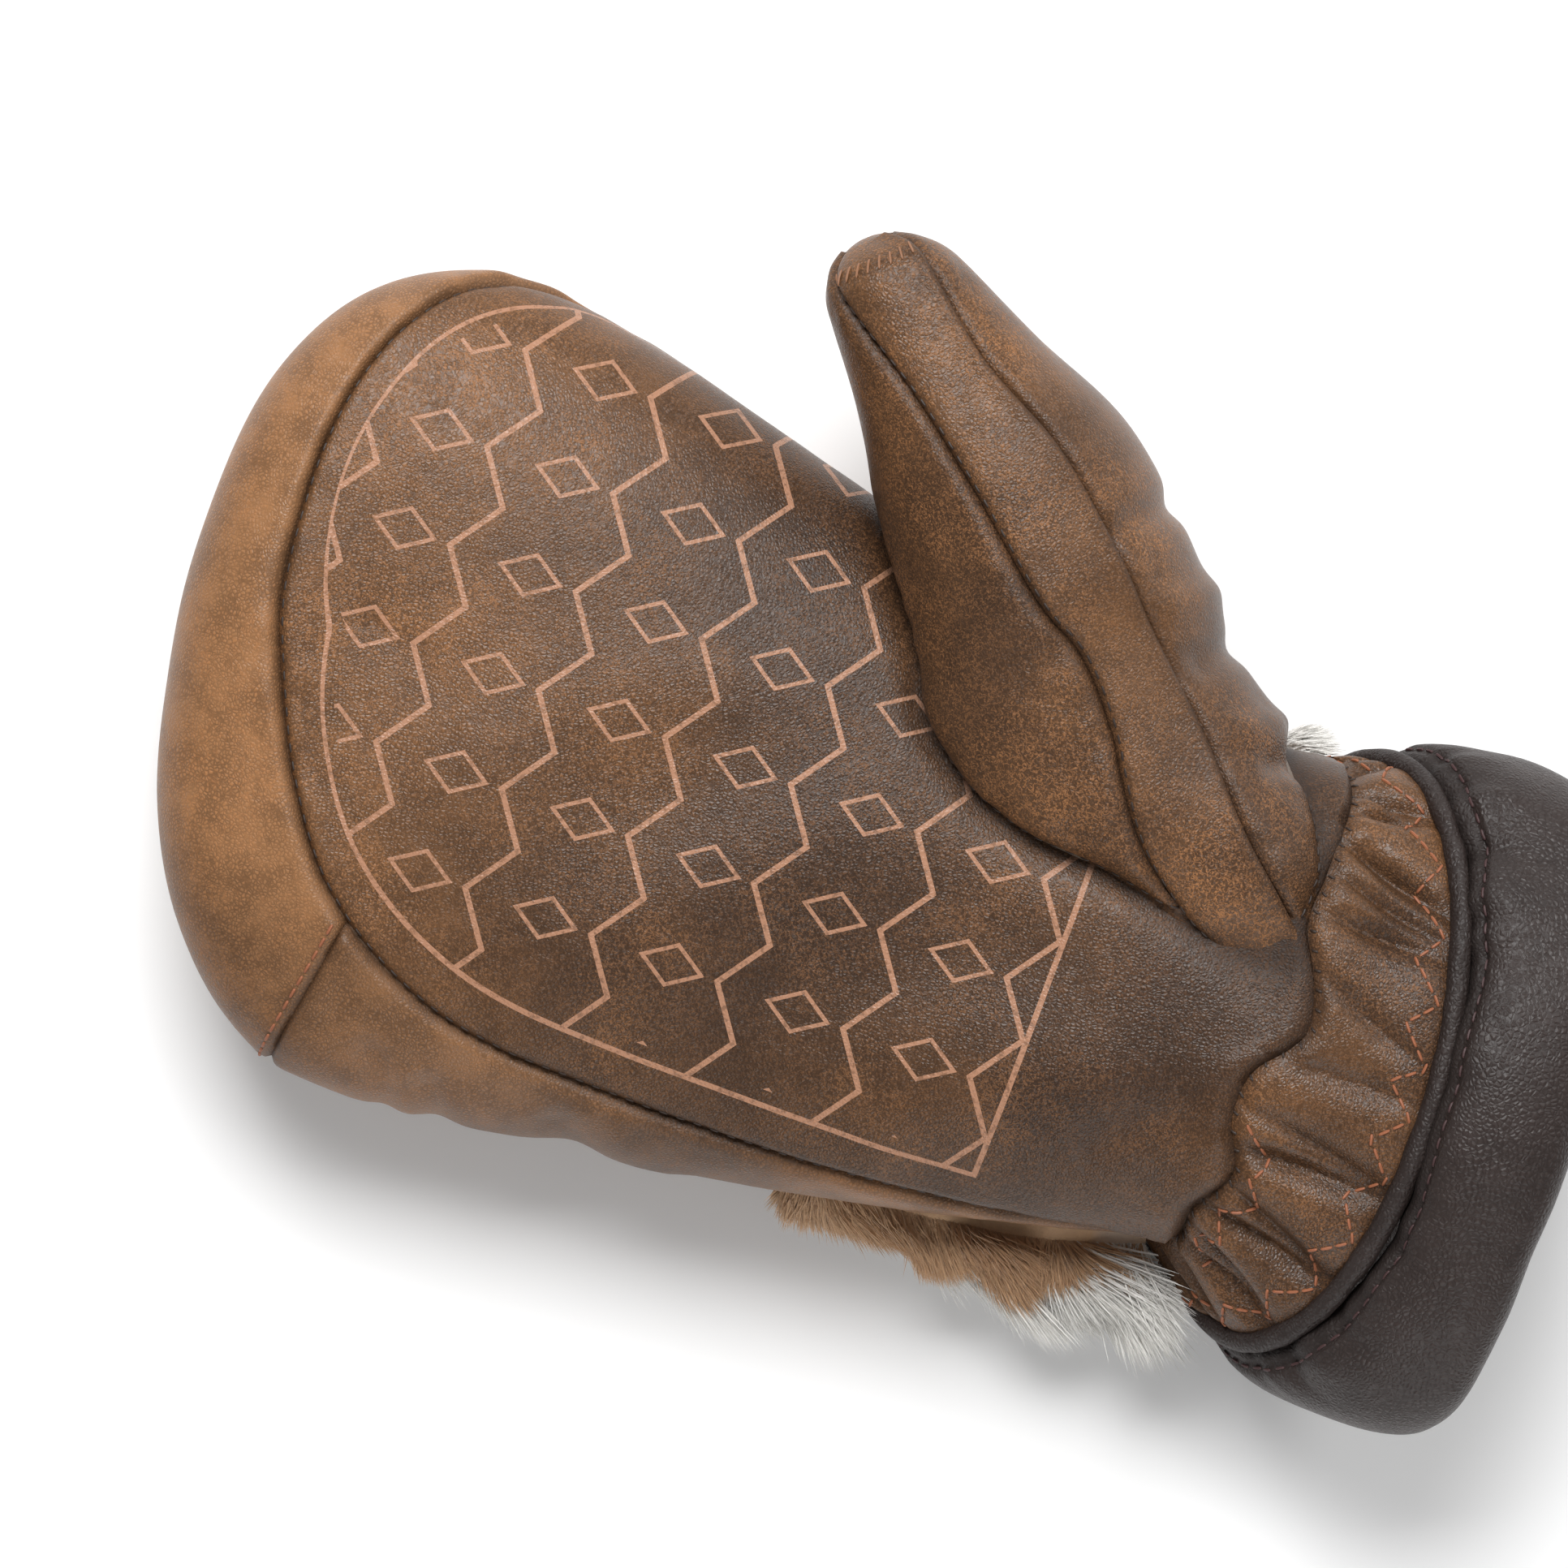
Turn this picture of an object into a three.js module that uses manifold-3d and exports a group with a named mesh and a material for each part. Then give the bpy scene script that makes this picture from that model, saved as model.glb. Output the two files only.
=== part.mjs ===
// A right-hand leather mitten lying palm up: a palm piece, gussets round the edge, a leather back,
// a fur panel on the back of the wrist, a sewn thumb, a gathered wrist and a padded cuff.
// Millimetres. +X runs from the fingertips to the cuff, +Y to the thumb side, +Z out of the palm.
import * as THREE from "three";
import { mergeVertices } from "three/addons/utils/BufferGeometryUtils.js";
import Module from "manifold-3d";

const wasm = await Module();
wasm.setup();

// Driving dimensions
const HAND_LENGTH = 203; // fingertip to the wrist seam on the palm side
const HAND_WIDTH = 145; // across the knuckles, leather to leather
const HAND_DEPTH = 60; // back to palm through the knuckles
const FINGER_CURL = 9; // how far the fingertips lift off the surface
const BACK_FLAT = 4; // how far the back would sag below the surface that flattens it
const EDGE_SQUARENESS = 2.5; // superellipse power of the hand's cross-section
const THUMB_SQUARENESS = 2.2; // the same for the thumb
const LEATHER = 2; // wall of every leather panel
const GAP = 0.3; // clearance along every seam
const PILE = 19; // length of the fur
const PILE_UNDER = 8; // thickness of the fur pressed under the wrist
const LOCK_WIDTH = 17; // across one lock of fur at its root
const THUMB_SIDE_PILE = 0.5; // length of the fur under the thumb, share of PILE
const LOCK_VARIETY = 0.2; // how much the locks differ in length
const LOCK_UPRIGHT = 0.8; // how far a lock stands off the leather, share of its length
const LOCK_LEAN = 0.6; // how far it leans towards the wrist, share of its length
const LOCK_ROOT = 0.66; // half its thickness at the root, share of LOCK_WIDTH
const LOCK_BELLY = 0.58; // half its thickness past the middle, share of LOCK_WIDTH
const THUMB_LENGTH = 139; // from its hidden root beside the wrist to the tip
const THUMB_WIDTH = 52; // across the thumb at its root
const THUMB_DEPTH = 54; // front to back at its root
const THUMB_ANGLE = 47; // degrees between the thumb and the fingers
const THUMB_RISE = 18; // how far the thumb tip stands forward of its root
const THUMB_ROOT_ALONG = 8; // thumb root's middle, from the wrist seam
const THUMB_ROOT_SIDE = 5; // thumb root's middle, from the hand's middle line
const WRIST_WIDTH = 102; // outside the gathered wrist where the cuff is sewn on
const WRIST_DEPTH = 58;
const WRIST_STRIP = 28; // length of the gathered strip on the palm side
const SIDE_STRIP = 11; // its length at the sides
const BACK_STRIP = 7; // its length at the back, under the fur
const WRIST_SIDE_SHIFT = -5; // wrist's middle from the hand's middle line
const CUFF_PALM_LEAD = 20; // how far the cuff seam leans towards the elbow at the palm
const CUFF_SIDE_LEAD = 4; // how much further it sits at the little-finger side than at the middle
const CUFF_WIDTH = 39; // along the wrist, at the sides
const CUFF_PALM_NARROWING = 12; // how much narrower it is at the palm than at the sides
const CUFF_SQUARENESS = 2.5; // superellipse power of its section
const CUFF_PUFF = 0.12; // how much its thickness swells and sinks round the wrist, as a share
const CUFF_THICKNESS = 15; // radial thickness of the padded roll
const CUFF_PROUD = 8; // how far the roll stands outside the wrist
const RIM_RADIUS = 1.7; // folded rim between the wrist and the cuff
const GATHER_HEIGHT = 1.6; // height of the wrist's gathers

// Outline of the hand seen on the palm, from the little-finger wrist corner round the tip to the
// thumb wrist corner. along: share of HAND_LENGTH from the wrist seam. side: share of HAND_WIDTH
// from the middle line. palmSeam and backSeam: turn of each seam, 0 mid palm, 0.5 edge, 1 mid back.
const OUTLINE = [
  { along: 0.0, side: -0.303, palmSeam: 0.47, backSeam: 0.56 },
  { along: 0.172, side: -0.366, palmSeam: 0.39, backSeam: 0.56 },
  { along: 0.355, side: -0.424, palmSeam: 0.32, backSeam: 0.6 },
  { along: 0.527, side: -0.462, palmSeam: 0.28, backSeam: 0.62 },
  { along: 0.675, side: -0.496, palmSeam: 0.23, backSeam: 0.62 },
  { along: 0.808, side: -0.476, palmSeam: 0.17, backSeam: 0.62 },
  { along: 0.897, side: -0.372, palmSeam: 0.13, backSeam: 0.62 },
  { along: 0.96, side: -0.193, palmSeam: 0.115, backSeam: 0.62 },
  { along: 0.995, side: 0.041, palmSeam: 0.13, backSeam: 0.62 },
  { along: 0.983, side: 0.29, palmSeam: 0.18, backSeam: 0.62 },
  { along: 0.921, side: 0.438, palmSeam: 0.29, backSeam: 0.62 },
  { along: 0.808, side: 0.493, palmSeam: 0.47, backSeam: 0.63 },
  { along: 0.66, side: 0.472, palmSeam: 0.56, backSeam: 0.64 },
  { along: 0.502, side: 0.414, palmSeam: 0.58, backSeam: 0.64 },
  { along: 0.33, side: 0.352, palmSeam: 0.58, backSeam: 0.64 },
  { along: 0.158, side: 0.317, palmSeam: 0.56, backSeam: 0.62 },
  { along: 0.0, side: 0.29, palmSeam: 0.54, backSeam: 0.6 },
];
const TIP_PULL = 0.17; // how far the middle line stops short of the fingertip, share of length
const TIP_SEAM = 0.3; // place of the join between the two gussets, share of the outline
const FUR_START = 0.33; // edge of the fur on the back, share of HAND_LENGTH from the wrist
const FUR_FADE = 0.2; // length over which the back sinks off the fur, share of HAND_LENGTH
const LEAN_REACH = 0.35; // how far from the wrist the hand's slanted end is felt, share of length

// Heights down the middle line as shares of HAND_DEPTH: top of the palm, widest edge.
const HEIGHTS = [
  { palm: 1.1, edge: 0.6 },
  { palm: 1.04, edge: 0.55 },
  { palm: 0.97, edge: 0.5 },
  { palm: 0.95, edge: 0.48 },
  { palm: 0.93, edge: 0.47 },
  { palm: 0.84, edge: 0.46 },
];

// Thumb sections from root to tip. along: share of THUMB_LENGTH. sway: share of THUMB_WIDTH towards
// the fingers. rise: share of THUMB_RISE. width and depth: shares of half the root's width and depth.
const THUMB = [
  { along: 0.0, sway: -0.15, rise: 0.0, width: 0.85, depth: 1.06 },
  { along: 0.13, sway: -0.05, rise: 0.1, width: 0.9, depth: 1.08 },
  { along: 0.27, sway: 0.12, rise: 0.2, width: 1.07, depth: 1.06 },
  { along: 0.41, sway: 0.16, rise: 0.3, width: 1.1, depth: 1.03 },
  { along: 0.52, sway: 0.11, rise: 0.45, width: 0.98, depth: 1.0 },
  { along: 0.67, sway: 0.1, rise: 0.6, width: 0.87, depth: 0.88 },
  { along: 0.81, sway: 0.15, rise: 0.78, width: 0.64, depth: 0.68 },
  { along: 0.93, sway: 0.2, rise: 0.93, width: 0.48, depth: 0.52 },
  { along: 1.0, sway: 0.23, rise: 1.0, width: 0.36, depth: 0.4 },
];
const THUMB_ROOT_HEIGHT = 0.62; // share of HAND_DEPTH
const THUMB_CAP = 0.12; // rounded end, share of THUMB_LENGTH
const STRIP_LEFT = [30, 26, 2, -4, 8, 17, 27, 50, 74]; // degrees round the thumb, root to tip
const STRIP_RIGHT = [-6, -12, -29, -30, -26, -21, -17, -27, -44];
const STRIP_END = 0.93; // stitched end of the strip, share of the thumb
const THUMB_CAP_SEAM = 0.985; // where the tip piece wraps over the end, share of the thumb
const THUMB_BACK_SEAM = 180; // degrees

// Facets
const OUTLINE_STEPS = 40; // round the hand's outline
const PALM_ROWS = 7; // from mid palm to its seam
const GUSSET_ROWS = 5;
const BACK_ROWS = 7;
const HAND_ROWS = 20; // from mid palm to mid back
const RING_STEPS = 60; // round the wrist
const WRIST_ROWS = 4;
const CUFF_SIDES = 10;
const RIM_SIDES = 4;
const THUMB_STEPS = 16; // from root to tip
const THUMB_ROWS = 9; // round the inner and the outer piece
const STRIP_ROWS = 3;
const THUMB_SIDES = 24; // round the whole thumb
const CAP_ROWS = 3;

// Materials
const material = (name, color, roughness) =>
  new THREE.MeshStandardMaterial({ name, color, roughness, metalness: 0 });
const palmLeather = material("palm_leather", 0x4f3522, 0.5);
const tanLeather = material("tan_leather", 0x7a5230, 0.55);
const thumbLeather = material("thumb_leather", 0x5f402a, 0.52);
const wristLeather = material("wrist_leather", 0x5a4029, 0.42);
const cuffLeather = material("cuff_leather", 0x3f3835, 0.5);
const fur = material("fur", 0xb98a5c, 0.95);

const lerp = (a, b, t) => a + (b - a) * t;
const clamp = (v, low, high) => Math.min(high, Math.max(low, v));
const radians = (degrees) => (degrees * Math.PI) / 180;
const signedPower = (v, p) => Math.sign(v) * Math.abs(v) ** p;

// A smooth curve through equally spaced values, read at t from 0 to 1.
function through(values, t) {
  const last = values.length - 1;
  const place = clamp(t, 0, 1) * last;
  const i = Math.min(Math.floor(place), last - 1);
  const f = place - i;
  const b = values[i];
  const c = values[i + 1];
  const a = i > 0 ? values[i - 1] : 2 * b - c;
  const d = i + 2 <= last ? values[i + 2] : 2 * c - b;
  const slopeB = (c - a) / 2;
  const slopeC = (d - b) / 2;
  const g = 1 - f;
  return (
    b * g * g * (1 + 2 * f) + c * f * f * (3 - 2 * f) + slopeB * f * g * g - slopeC * f * f * g
  );
}
const column = (table, key) => table.map((row) => row[key]);
const outlineAlong = column(OUTLINE, "along");
const outlineSide = column(OUTLINE, "side");
const palmSeam = (t) => through(column(OUTLINE, "palmSeam"), t);
const backSeam = (t) => through(column(OUTLINE, "backSeam"), t);

// Lift of the hand's back, in millimetres: fur under the wrist, flat under the palm.
function backHeight(along) {
  const underFur = clamp((FUR_START + FUR_FADE / 2 - along) / FUR_FADE, 0, 1);
  return (PILE_UNDER + BACK_FLAT) * underFur ** 1.5;
}
const curl = (along) => FINGER_CURL * clamp((along - 0.5) / 0.5, 0, 1) ** 2;

// How far the hand's end draws back from the palm's wrist seam, up from 1 at the palm to -1 at the back.
function handLean(up) {
  const atSide = CUFF_PALM_LEAD - WRIST_STRIP + SIDE_STRIP;
  const atBack = 2 * CUFF_PALM_LEAD - WRIST_STRIP + BACK_STRIP;
  return atSide - (atBack / 2) * up + (atBack / 2 - atSide) * up * up;
}

// A point of the hand: t along the outline, turn from mid palm over the edge to mid back, and
// depth below the outer face.
function handPoint(t, turn, depth) {
  const along = through(outlineAlong, t);
  const side = through(outlineSide, t);
  const twinAlong = through(outlineAlong, 1 - t);
  const twinSide = through(outlineSide, 1 - t);
  const middle = (along + twinAlong) / 2;
  const spineX = -(middle - TIP_PULL * middle ** 4) * HAND_LENGTH;
  const spineY = ((side + twinSide) / 2) * HAND_WIDTH;
  const rimX = -along * HAND_LENGTH;
  const rimY = side * HAND_WIDTH;
  const reach = Math.hypot(rimX - spineX, rimY - spineY);
  const out = Math.sin(Math.PI * turn) ** (2 / EDGE_SQUARENESS) * (1 - depth / reach);
  const up = signedPower(Math.cos(Math.PI * turn), 2 / EDGE_SQUARENESS);
  const x = lerp(spineX, rimX, out);
  const y = lerp(spineY, rimY, out);
  const share = -x / HAND_LENGTH;
  const palm = through(column(HEIGHTS, "palm"), -spineX / HAND_LENGTH / (1 - TIP_PULL));
  const edge = through(column(HEIGHTS, "edge"), -spineX / HAND_LENGTH / (1 - TIP_PULL));
  const top = palm * HAND_DEPTH - depth;
  const mid = edge * HAND_DEPTH;
  const low = backHeight(share) - BACK_FLAT + depth;
  const z = up > 0 ? lerp(mid, top, up) : lerp(mid, low, -up);
  const lean = clamp(1 - share / LEAN_REACH, 0, 1) ** 2 * handLean(up);
  return new THREE.Vector3(x - lean, y, Math.max(z + curl(share), depth));
}

// The wrist's ring: angle round it, 90 degrees at the palm.
const gather = (angle) =>
  0.5 * Math.sin(11 * angle + 0.8) + 0.3 * Math.sin(7 * angle + 2.1) + 0.2 * Math.sin(13 * angle);
const seamLead = (angle) =>
  WRIST_STRIP - CUFF_PALM_LEAD * (1 - Math.sin(angle)) - CUFF_SIDE_LEAD * Math.cos(angle);
const wristMiddleZ = () => WRIST_DEPTH / 2 + CUFF_PROUD;

// A point beyond the hand: forward from the cuff seam, outward from the wrist's outer face.
function sleevePoint(angle, forward, outward) {
  const y = WRIST_SIDE_SHIFT + (WRIST_WIDTH / 2 + outward) * Math.cos(angle);
  const z = wristMiddleZ() + (WRIST_DEPTH / 2 + outward) * Math.sin(angle);
  return new THREE.Vector3(seamLead(angle) + forward, y, z);
}

// The hand's last ring, read by the angle round the wrist: both wrist corners' sections as one loop.
function handEnd(angle, depth) {
  const turn = clamp(Math.abs(Math.atan2(Math.cos(angle), Math.sin(angle))) / Math.PI, 0, 1);
  return handPoint(Math.cos(angle) < 0 ? 0 : 1, turn, depth);
}
function wristPoint(angle, share, depth) {
  const start = handEnd(angle, depth);
  const end = sleevePoint(angle, 0, -depth);
  const middle = Math.sin(Math.PI * share);
  const fold = GATHER_HEIGHT * gather(angle) * middle;
  const point = start.clone().lerp(end, share);
  const outward = new THREE.Vector3(0, Math.cos(angle), Math.sin(angle));
  return point.addScaledVector(outward, fold - GATHER_HEIGHT * middle);
}

// A point of the padded roll: angle round the wrist, round about its own section.
function cuffPoint(angle, round, depth) {
  const start = 2 * RIM_RADIUS + 1.5 * GAP;
  const half = (CUFF_WIDTH - CUFF_PALM_NARROWING * Math.sin(angle) - start) / 2 - depth;
  const puff = 1 + CUFF_PUFF * (0.6 * Math.sin(3 * angle + 0.6) + 0.4 * Math.sin(5 * angle));
  const thick = (CUFF_THICKNESS / 2) * puff - depth;
  const lengthways = half * signedPower(Math.cos(round), 2 / CUFF_SQUARENESS);
  const outward = thick * signedPower(Math.sin(round), 2 / CUFF_SQUARENESS);
  const middle = CUFF_PROUD - CUFF_THICKNESS / 2;
  const point = sleevePoint(angle, start + half + depth + lengthways, middle + outward);
  point.z = Math.max(point.z, depth);
  return point;
}

const forward = new THREE.Vector3(0, 0, 1);
const thumbRoot = () =>
  new THREE.Vector3(-THUMB_ROOT_ALONG, THUMB_ROOT_SIDE, THUMB_ROOT_HEIGHT * HAND_DEPTH);
const thumbDirection = new THREE.Vector3(
  -Math.cos(radians(THUMB_ANGLE)),
  Math.sin(radians(THUMB_ANGLE)),
  0,
);
const thumbInward = new THREE.Vector3(
  -Math.sin(radians(THUMB_ANGLE)),
  -Math.cos(radians(THUMB_ANGLE)),
  0,
);
// How far the thumb's rounded end has closed, 1 below it and 0 at the tip.
function thumbRound(share) {
  const toEnd = (1 - share) / THUMB_CAP;
  return toEnd < 1 ? Math.sqrt(Math.max(0, 1 - (1 - toEnd) ** 2)) : 1;
}
// A point of the thumb: share from root to tip, angle round it, 0 facing out of the palm and
// positive towards the fingers.
function thumbPoint(share, angle, depth) {
  const read = (key) => through(column(THUMB, key), share);
  const round = thumbRound(share);
  const halfWidth = Math.max(0, (THUMB_WIDTH / 2) * read("width") * round - depth);
  const halfDepth = Math.max(0, (THUMB_DEPTH / 2) * read("depth") * round - depth);
  const sideways = signedPower(Math.sin(angle), 2 / THUMB_SQUARENESS);
  const frontways = signedPower(Math.cos(angle), 2 / THUMB_SQUARENESS);
  const along = read("along") * THUMB_LENGTH - (share > 1 - THUMB_CAP ? depth * (1 - round) : 0);
  return thumbRoot()
    .addScaledVector(thumbDirection, along)
    .addScaledVector(thumbInward, read("sway") * THUMB_WIDTH + halfWidth * sideways)
    .addScaledVector(forward, read("rise") * THUMB_RISE + halfDepth * frontways);
}

// A closed solid from vertices and triangles; triangles that collapse to a line are dropped.
function solidOf(points, triangles) {
  const geometry = new THREE.BufferGeometry();
  const flat = new Float32Array(points.length * 3);
  points.forEach((p, i) => p.toArray(flat, i * 3));
  geometry.setAttribute("position", new THREE.BufferAttribute(flat, 3));
  geometry.setIndex(triangles.flat());
  const merged = mergeVertices(geometry, 2e-3);
  const kept = [];
  for (let i = 0; i < merged.index.count; i += 3) {
    const [a, b, c] = [0, 1, 2].map((k) => merged.index.getX(i + k));
    if (a !== b && b !== c && c !== a) kept.push(a, b, c);
  }
  const mesh = { numProp: 3, vertProperties: merged.attributes.position.array };
  const solid = new wasm.Manifold(new wasm.Mesh({ ...mesh, triVerts: new Uint32Array(kept) }));
  if (solid.volume() >= 0) return solid;
  for (let i = 0; i < kept.length; i += 3) [kept[i + 1], kept[i + 2]] = [kept[i + 2], kept[i + 1]];
  return new wasm.Manifold(new wasm.Mesh({ ...mesh, triVerts: new Uint32Array(kept) }));
}
const quad = (a, b, c, d) => [
  [a, b, c],
  [a, c, d],
];
const steps = (from, to, count) =>
  Array.from({ length: count + 1 }, (_, i) => lerp(from, to, i / count));

// A wall over a grid: outer and inner faces of at(u, v, depth), with rims at the named edges.
function wall(us, vsOf, at, rims, depths = [0, LEATHER]) {
  const columns = us.map((u) => vsOf(u));
  const rows = columns[0].length;
  const points = [];
  for (const depth of depths)
    us.forEach((u, i) => columns[i].forEach((v) => points.push(at(u, v, depth))));
  const outer = (i, j) => i * rows + j;
  const inner = (i, j) => us.length * rows + outer(i, j);
  const faces = [];
  for (let i = 0; i + 1 < us.length; i++) {
    for (let j = 0; j + 1 < rows; j++) {
      faces.push(...quad(outer(i, j), outer(i + 1, j), outer(i + 1, j + 1), outer(i, j + 1)));
      faces.push(...quad(inner(i, j), inner(i, j + 1), inner(i + 1, j + 1), inner(i + 1, j)));
    }
    if (rims.includes("v0")) faces.push(...quad(outer(i, 0), inner(i, 0), inner(i + 1, 0), outer(i + 1, 0)));
    const top = rows - 1;
    if (rims.includes("v1"))
      faces.push(...quad(outer(i, top), outer(i + 1, top), inner(i + 1, top), inner(i, top)));
  }
  for (let j = 0; j + 1 < rows; j++) {
    if (rims.includes("u0")) faces.push(...quad(outer(0, j), outer(0, j + 1), inner(0, j + 1), inner(0, j)));
    const end = us.length - 1;
    if (rims.includes("u1"))
      faces.push(...quad(outer(end, j), inner(end, j), inner(end, j + 1), outer(end, j + 1)));
  }
  return solidOf(points, faces);
}

// A filled body over a grid whose first and last columns meet.
function filled(us, vs, at) {
  const points = us.flatMap((u) => vs.map((v) => at(u, v)));
  const index = (i, j) => (i % us.length) * vs.length + j;
  const faces = [];
  for (let i = 0; i < us.length; i++)
    for (let j = 0; j + 1 < vs.length; j++)
      faces.push(...quad(index(i, j), index(i + 1, j), index(i + 1, j + 1), index(i, j + 1)));
  return solidOf(points, faces);
}

const outlineSteps = steps(0, 1, OUTLINE_STEPS);
const SMALL = 1e-3;
// Half the seam clearance as a step in turn, from how fast the surface moves with turn.
function seamStep(t, turn) {
  const speed = handPoint(t, turn + SMALL, 0).distanceTo(handPoint(t, turn - SMALL, 0)) / (2 * SMALL);
  return GAP / speed;
}
const handSolid = (depth) =>
  filled(outlineSteps, steps(0, 1, HAND_ROWS), (t, turn) => handPoint(t, turn, depth));

function thumbSolid(depth) {
  const shares = steps(0, 1, THUMB_STEPS);
  const angles = steps(0, 2 * Math.PI, THUMB_SIDES);
  const points = shares.flatMap((s) => angles.map((a) => thumbPoint(s, a, depth)));
  const index = (i, j) => i * angles.length + j;
  const faces = [];
  for (let i = 0; i + 1 < shares.length; i++)
    for (let j = 0; j + 1 < angles.length; j++)
      faces.push(...quad(index(i, j), index(i, j + 1), index(i + 1, j + 1), index(i + 1, j)));
  const end = index(shares.length - 1, 0);
  for (let j = 1; j + 2 < angles.length; j++) faces.push([0, j + 1, j], [end, end + j, end + j + 1]);
  return solidOf(points, faces);
}

const ringAngles = steps(0, 2 * Math.PI, RING_STEPS);
const nodes = new THREE.Group();
function add(name, solid, look) {
  const mesh = solid.getMesh();
  const geometry = new THREE.BufferGeometry();
  geometry.setAttribute("position", new THREE.BufferAttribute(mesh.vertProperties, 3));
  geometry.setIndex(new THREE.BufferAttribute(mesh.triVerts, 1));
  const part = new THREE.Mesh(geometry.toNonIndexed(), look);
  part.geometry.computeVertexNormals();
  part.name = name;
  nodes.add(part);
}
// The largest connected piece, so that a cut leaves no crumbs.
const largest = (solid) =>
  solid.decompose().reduce((a, b) => (b.volume() > a.volume() ? b : a));

const thumbHollow = thumbSolid(LEATHER);
const handGrown = handSolid(-GAP);
// The wrist with its hollow filled, between the hand's end and the cuff.
function wristFilled(depth) {
  const shares = steps(0, 1, WRIST_ROWS);
  const points = ringAngles.flatMap((a) => shares.map((s) => wristPoint(a, s, depth)));
  const index = (i, j) => i * shares.length + j;
  const last = shares.length - 1;
  const faces = [];
  for (let i = 0; i + 1 < ringAngles.length; i++) {
    for (let j = 0; j < last; j++)
      faces.push(...quad(index(i, j), index(i + 1, j), index(i + 1, j + 1), index(i, j + 1)));
    faces.push([0, index(i + 1, 0), index(i, 0)], [last, index(i, last), index(i + 1, last)]);
  }
  return solidOf(points, faces);
}
const openForThumb = (solid) => largest(solid.subtract(thumbHollow));
const outsideHand = (solid) =>
  largest([handGrown, wristGrown, cuffGrown, rimGrown].reduce((a, b) => a.subtract(b), solid));

function palmPanel() {
  const rows = (t) => steps(0, palmSeam(t) - seamStep(t, palmSeam(t)) / 2, PALM_ROWS);
  return openForThumb(wall(outlineSteps, rows, handPoint, ["v1", "u0", "u1"]));
}
function gusset(from, to, grow = 0) {
  const ts = outlineSteps.filter((t) => t > from && t < to);
  const rows = (t) => {
    const gap = seamStep(t, palmSeam(t)) * (0.5 - grow / GAP);
    return steps(palmSeam(t) + gap, backSeam(t) - gap, GUSSET_ROWS);
  };
  const depths = [-grow, LEATHER + grow];
  return openForThumb(wall([from, ...ts, to], rows, handPoint, ["v0", "v1", "u0", "u1"], depths));
}
// The back, split where its middle line crosses the edge of the fur.
function backPiece() {
  const rows = (t) => steps(backSeam(t) + seamStep(t, backSeam(t)) / 2, 1, BACK_ROWS);
  return wall(outlineSteps, rows, handPoint, ["v0", "u0", "u1"]);
}
// A block that covers everything from one x to another.
function slab(fromX, toX) {
  const size = 4 * (HAND_WIDTH + HAND_DEPTH);
  const box = new THREE.BoxGeometry(toX - fromX, size, size);
  box.translate((fromX + toX) / 2, 0, 0);
  box.deleteAttribute("normal");
  box.deleteAttribute("uv");
  const merged = mergeVertices(box);
  return new wasm.Manifold(
    new wasm.Mesh({
      numProp: 3,
      vertProperties: merged.attributes.position.array,
      triVerts: new Uint32Array(merged.index.array),
    }),
  );
}

// A body swept round the wrist: at(angle, round, depth) closed both ways.
function ring(rounds, at) {
  const points = ringAngles.flatMap((a) => rounds.map((r) => at(a, r)));
  const index = (i, j) => i * rounds.length + j;
  const faces = [];
  for (let i = 0; i + 1 < ringAngles.length; i++)
    for (let j = 0; j + 1 < rounds.length; j++)
      faces.push(...quad(index(i, j), index(i + 1, j), index(i + 1, j + 1), index(i, j + 1)));
  return solidOf(points, faces);
}
const cuffSolid = (depth) =>
  ring(steps(0, 2 * Math.PI, CUFF_SIDES), (a, r) => cuffPoint(a, r, depth));
function rimSolid(grow) {
  const radius = RIM_RADIUS + grow;
  const middle = RIM_RADIUS + GAP / 2;
  const proud = RIM_RADIUS - LEATHER / 2;
  const at = (angle, round) =>
    sleevePoint(angle, middle + radius * Math.cos(round), proud + radius * Math.sin(round));
  return ring(steps(0, 2 * Math.PI, RIM_SIDES), at);
}
function wristStrip(grow) {
  const gap = (2 * GAP - grow) / WRIST_STRIP;
  const shares = () => steps(gap, 1 - gap, WRIST_ROWS);
  return wall(ringAngles, shares, wristPoint, ["v0", "v1"], [-grow, LEATHER + grow]);
}

// Fur: locks that stand off the back's leather and bend towards the cuff, pressed flat below.
function furPanel(neighbours) {
  const edgeX = -FUR_START * HAND_LENGTH;
  const rowCount = Math.round((FUR_START * HAND_LENGTH) / LOCK_WIDTH);
  const rows = steps(edgeX + LOCK_WIDTH, 0, rowCount - 1);
  const locks = rows.flatMap((x, row) => locksAcross(x, row)).reduce((a, b) => a.add(b));
  const standing = [handSolid(LEATHER / 2), ...neighbours].reduce((a, b) => a.subtract(b), locks);
  return largest(backPiece().intersect(slab(edgeX, CUFF_WIDTH)).add(standing));
}
// Locks in one row across the back, at the distance x from the wrist seam.
function locksAcross(x, row) {
  const locks = [];
  for (const nearThumb of [false, true]) {
    const t = outlineAt(-x / HAND_LENGTH, nearThumb);
    const start = backSeam(t) + seamStep(t, backSeam(t));
    const arc = handPoint(t, start, 0).distanceTo(handPoint(t, 1, 0));
    const count = Math.round(arc / LOCK_WIDTH);
    for (let i = 0; i < count; i++) {
      const turn = lerp(start + 0.01, 1, (i + 0.5 * (row % 2)) / count);
      const share = nearThumb ? THUMB_SIDE_PILE : 1;
      locks.push(lock(t, turn, share * (1 + LOCK_VARIETY * Math.sin(5.3 * i + 2.7 * row))));
    }
  }
  return locks;
}
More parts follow.
